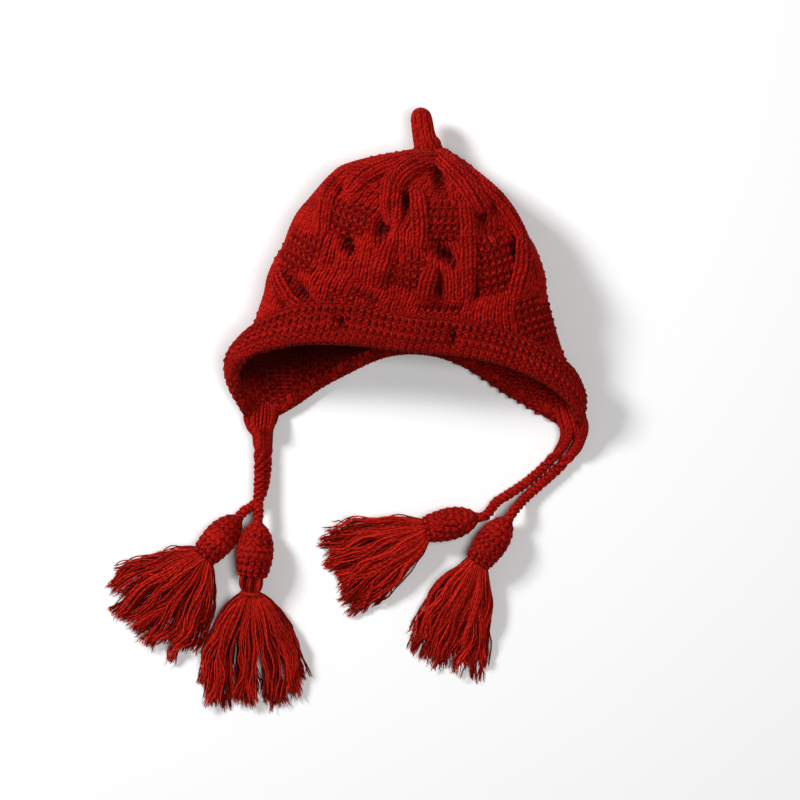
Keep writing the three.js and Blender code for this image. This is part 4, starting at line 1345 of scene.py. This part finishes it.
def tassel_strands(centres, side, fan, upper):
    """The strands of all locks round the locks' middle lines, and the painted shade of each: how open it is to the
    light.
    """
    lock = np.repeat(np.arange(LOCKS), LOCK_STRANDS)
    centres, side = centres[lock], side[lock]
    out = np.sqrt(chance.random((STRANDS, 1)))
    turn = chance.random((STRANDS, 1)) * TURN
    phase = turn + chance.normal(0, LOCK_SPIN, LOCKS)[lock][:, None] * SHARES
    swell = out * LOCK_RADIUS * (0.75 + 0.5 * np.sin(SHARES * math.pi) + 0.8 * SHARES**3)
    path = centres + side * (np.cos(phase) * swell * LOCK_WIDE)[..., None]
    path[..., 2] += np.sin(phase) * swell * LOCK_HIGH
    # painted shade: strands deep in a lock and in the lower locks are darker, outer and end strands less so
    shade = SHADE_MIDDLE + SHADE_DEEP * out * np.sin(phase) - SHADE_LOWER * (1 - upper)[lock][:, None]
    outer_share = np.maximum(fan[lock][:, None] ** 2, SHARES**2)
    shade = np.maximum(shade, SHADE_LEAST + SHADE_OUTER * outer_share)
    # each strand's own waves, larger towards its end, and a few strays
    stray = 1 + 2.0 * (chance.random((STRANDS, 1)) < STRAYS)
    first_wave, second_wave, high_wave, _, drift_wave = chance.random((5, STRANDS, 1)) * TURN
    pace = 14 + 12 * chance.random((STRANDS, 1))
    grow = STRAND_SWAY * (0.2 + 0.8 * SHARES)
    sway = np.sin(pace * SHARES + first_wave) + 0.4 * np.sin(1.7 * pace * SHARES + second_wave)
    drift = STRAND_DRIFT * np.sin(4.5 * SHARES + drift_wave) * SHARES
    path = path + side * ((sway * grow + drift) * stray)[..., None]
    path[..., 2] += 0.6 * np.sin(0.9 * pace * SHARES + high_wave) * grow * stray
    uneven = chance.normal(0, STRAND_UNEVEN, (STRANDS, 1)) * SHARES**2
    path = path + unit(np.gradient(centres, axis=1))[:, -1:] * uneven[..., None]
    return path, shade


tassel_pieces = {}
for end, tassel in TASSELS.items():
    cap_from, mouth, _ = (np.array(x) for x in CAPS[end])
    way = unit(mouth - cap_from)
    aside = unit(np.array([-way[1], way[0], 0]))
    above = np.cross(way, aside)
    above = above * np.sign(above[2])
    neck = tassel["neck"]
    root = mouth + way * neck
    path, shade = tassel_strands(*tassel_locks(tassel, root, aside, above))
    path[..., 2] = np.maximum(path[..., 2], STRAND_LOWEST)
    # inside the cap and through the tied neck, whose folds get painted shade
    if neck:
        run = np.linspace(-NECK_INSIDE, neck, 9)[:-1]
        bulge = 1 + NECK_BULGE * np.sin(np.clip(run / neck, 0, 1) * math.pi) ** 0.7
        start = path[:, 0] - root
        round_neck = np.arctan2(start @ above, start @ aside)[:, None]
        folds = NECK_FOLD * np.cos(NECK_FOLDS * round_neck) * (bulge - 1) / NECK_BULGE
        inner = mouth + way * run[:, None] + start[:, None] * (NECK_WIDE * bulge * (1 + folds))[..., None]
        held_shade = NECK_SHADE + folds / NECK_FOLD
    else:
        inner = path[:, :1] + way * np.linspace(-STRANDS_INSIDE, -1, 3)[:, None]
        held_shade = np.repeat(shade[:, :1], inner.shape[1], axis=1)
    inner[..., 2] = np.maximum(inner[..., 2], STRAND_LOWEST)
    path, shade = np.concatenate([inner, path], axis=1), np.concatenate([held_shade, shade], axis=1)
    thick = STRAND_RADIUS * (1 + 0.12 * chance.standard_normal((STRANDS, 1)))
    radius = np.broadcast_to(thick, path.shape[:2]).copy()
    radius[:, -1] *= 0.7
    tubes = Tubes()
    tubes.add(path, UP, radius, STRAND_SIDES, off=shade)
    # the ends come apart into fine fibres
    ray = unit(unit(path[:, -1] - path[:, -3]) + chance.normal(0, 0.3, (STRANDS, 3)))
    size = 1.0 + 2.2 * chance.random((STRANDS, 1, 1))
    tail = path[:, -1:] + ray[:, None] * (TAIL_AT * size)
    tail[..., 2] = np.maximum(tail[..., 2], TAIL_LOWEST)
    tubes.add(tail, UP, TAIL_RADIUS, STRAND_SIDES)
    for place in TIE_PLACES if neck else ():
        outward = about(shares_of(40) * TURN, aside, above)
        tubes.add(root + way * place + outward * TIE_RADIUS, outward, TIE_YARN, 6, closed=True)
    piece = tubes.build(f"tassel_{end}_yarn", loose_yarn, NO_SHIFT)
    tassel_pieces[end] = dress(piece, f"tassel_{end}", "red_yarn")

for end, piece in cord_pieces.items():
    line = cord_lines[end]
    carried = [*cap_pieces[end]]
    if not TASSELS[end]["neck"]:
        carried.append(tassel_pieces[end])
    dress(piece, f"cord_{end}", "red_yarn")
    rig.cord(
        piece,
        exit=tuple(line[0] * MM),
        length=float(lengths_along(line)[-1]) * MM,
        diameter=CORD_DIAMETER * MM,
        far_end="fitting",
        stiffness="limp",
        lay="loose",
        path=[tuple(p * MM) for p in line[::3]] + [tuple(line[-1] * MM)],
        with_pieces=carried,
    )

# The floor and the light
FLOOR_HALF = 3.0
AIM = Vector((0, -0.08, 0.03))
bpy.context.scene.view_settings.view_transform = "Standard"
floor_mesh = bpy.data.meshes.new("floor")
corners = [(-1, -1), (1, -1), (1, 1), (-1, 1)]
floor_mesh.from_pydata([(x * FLOOR_HALF, y * FLOOR_HALF, 0) for x, y in corners], [], [(0, 1, 2, 3)])
floor_look = Graph("floor")
floor_values = {"Base Color": (0.92, 0.92, 0.92, 1), "Roughness": 0.9, "Specular IOR Level": 0.1}
floor_look.give(floor_look.shader, floor_values)
floor_mesh.materials.append(floor_look.material)
floor = put("floor", floor_mesh)
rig.stage(floor)


def area_light(name, place, power, size):
    data = bpy.data.lights.new(name, "AREA")
    data.energy = power
    data.size = size
    lamp = put(name, data)
    lamp.location = place
    lamp.rotation_euler = (AIM - Vector(place)).to_track_quat("-Z", "Y").to_euler()


area_light("key", (-1.45, 0.9, 1.35), 46, 0.5)
area_light("overhead", (0.5, -0.15, 2.2), 24, 0.9)
world = bpy.data.worlds.new("world")
world.use_nodes = True
colour, strength, *_ = world.node_tree.nodes["Background"].inputs
colour.default_value = (1, 1, 1, 1)
strength.default_value = 0.14
bpy.context.scene.world = world

last_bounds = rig.bounds()


def plain(bounds):
    return [[float(x) for x in row] for row in bounds]


with open("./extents.json", "w") as out:
    json.dump([plain(first_bounds), plain(last_bounds)], out)
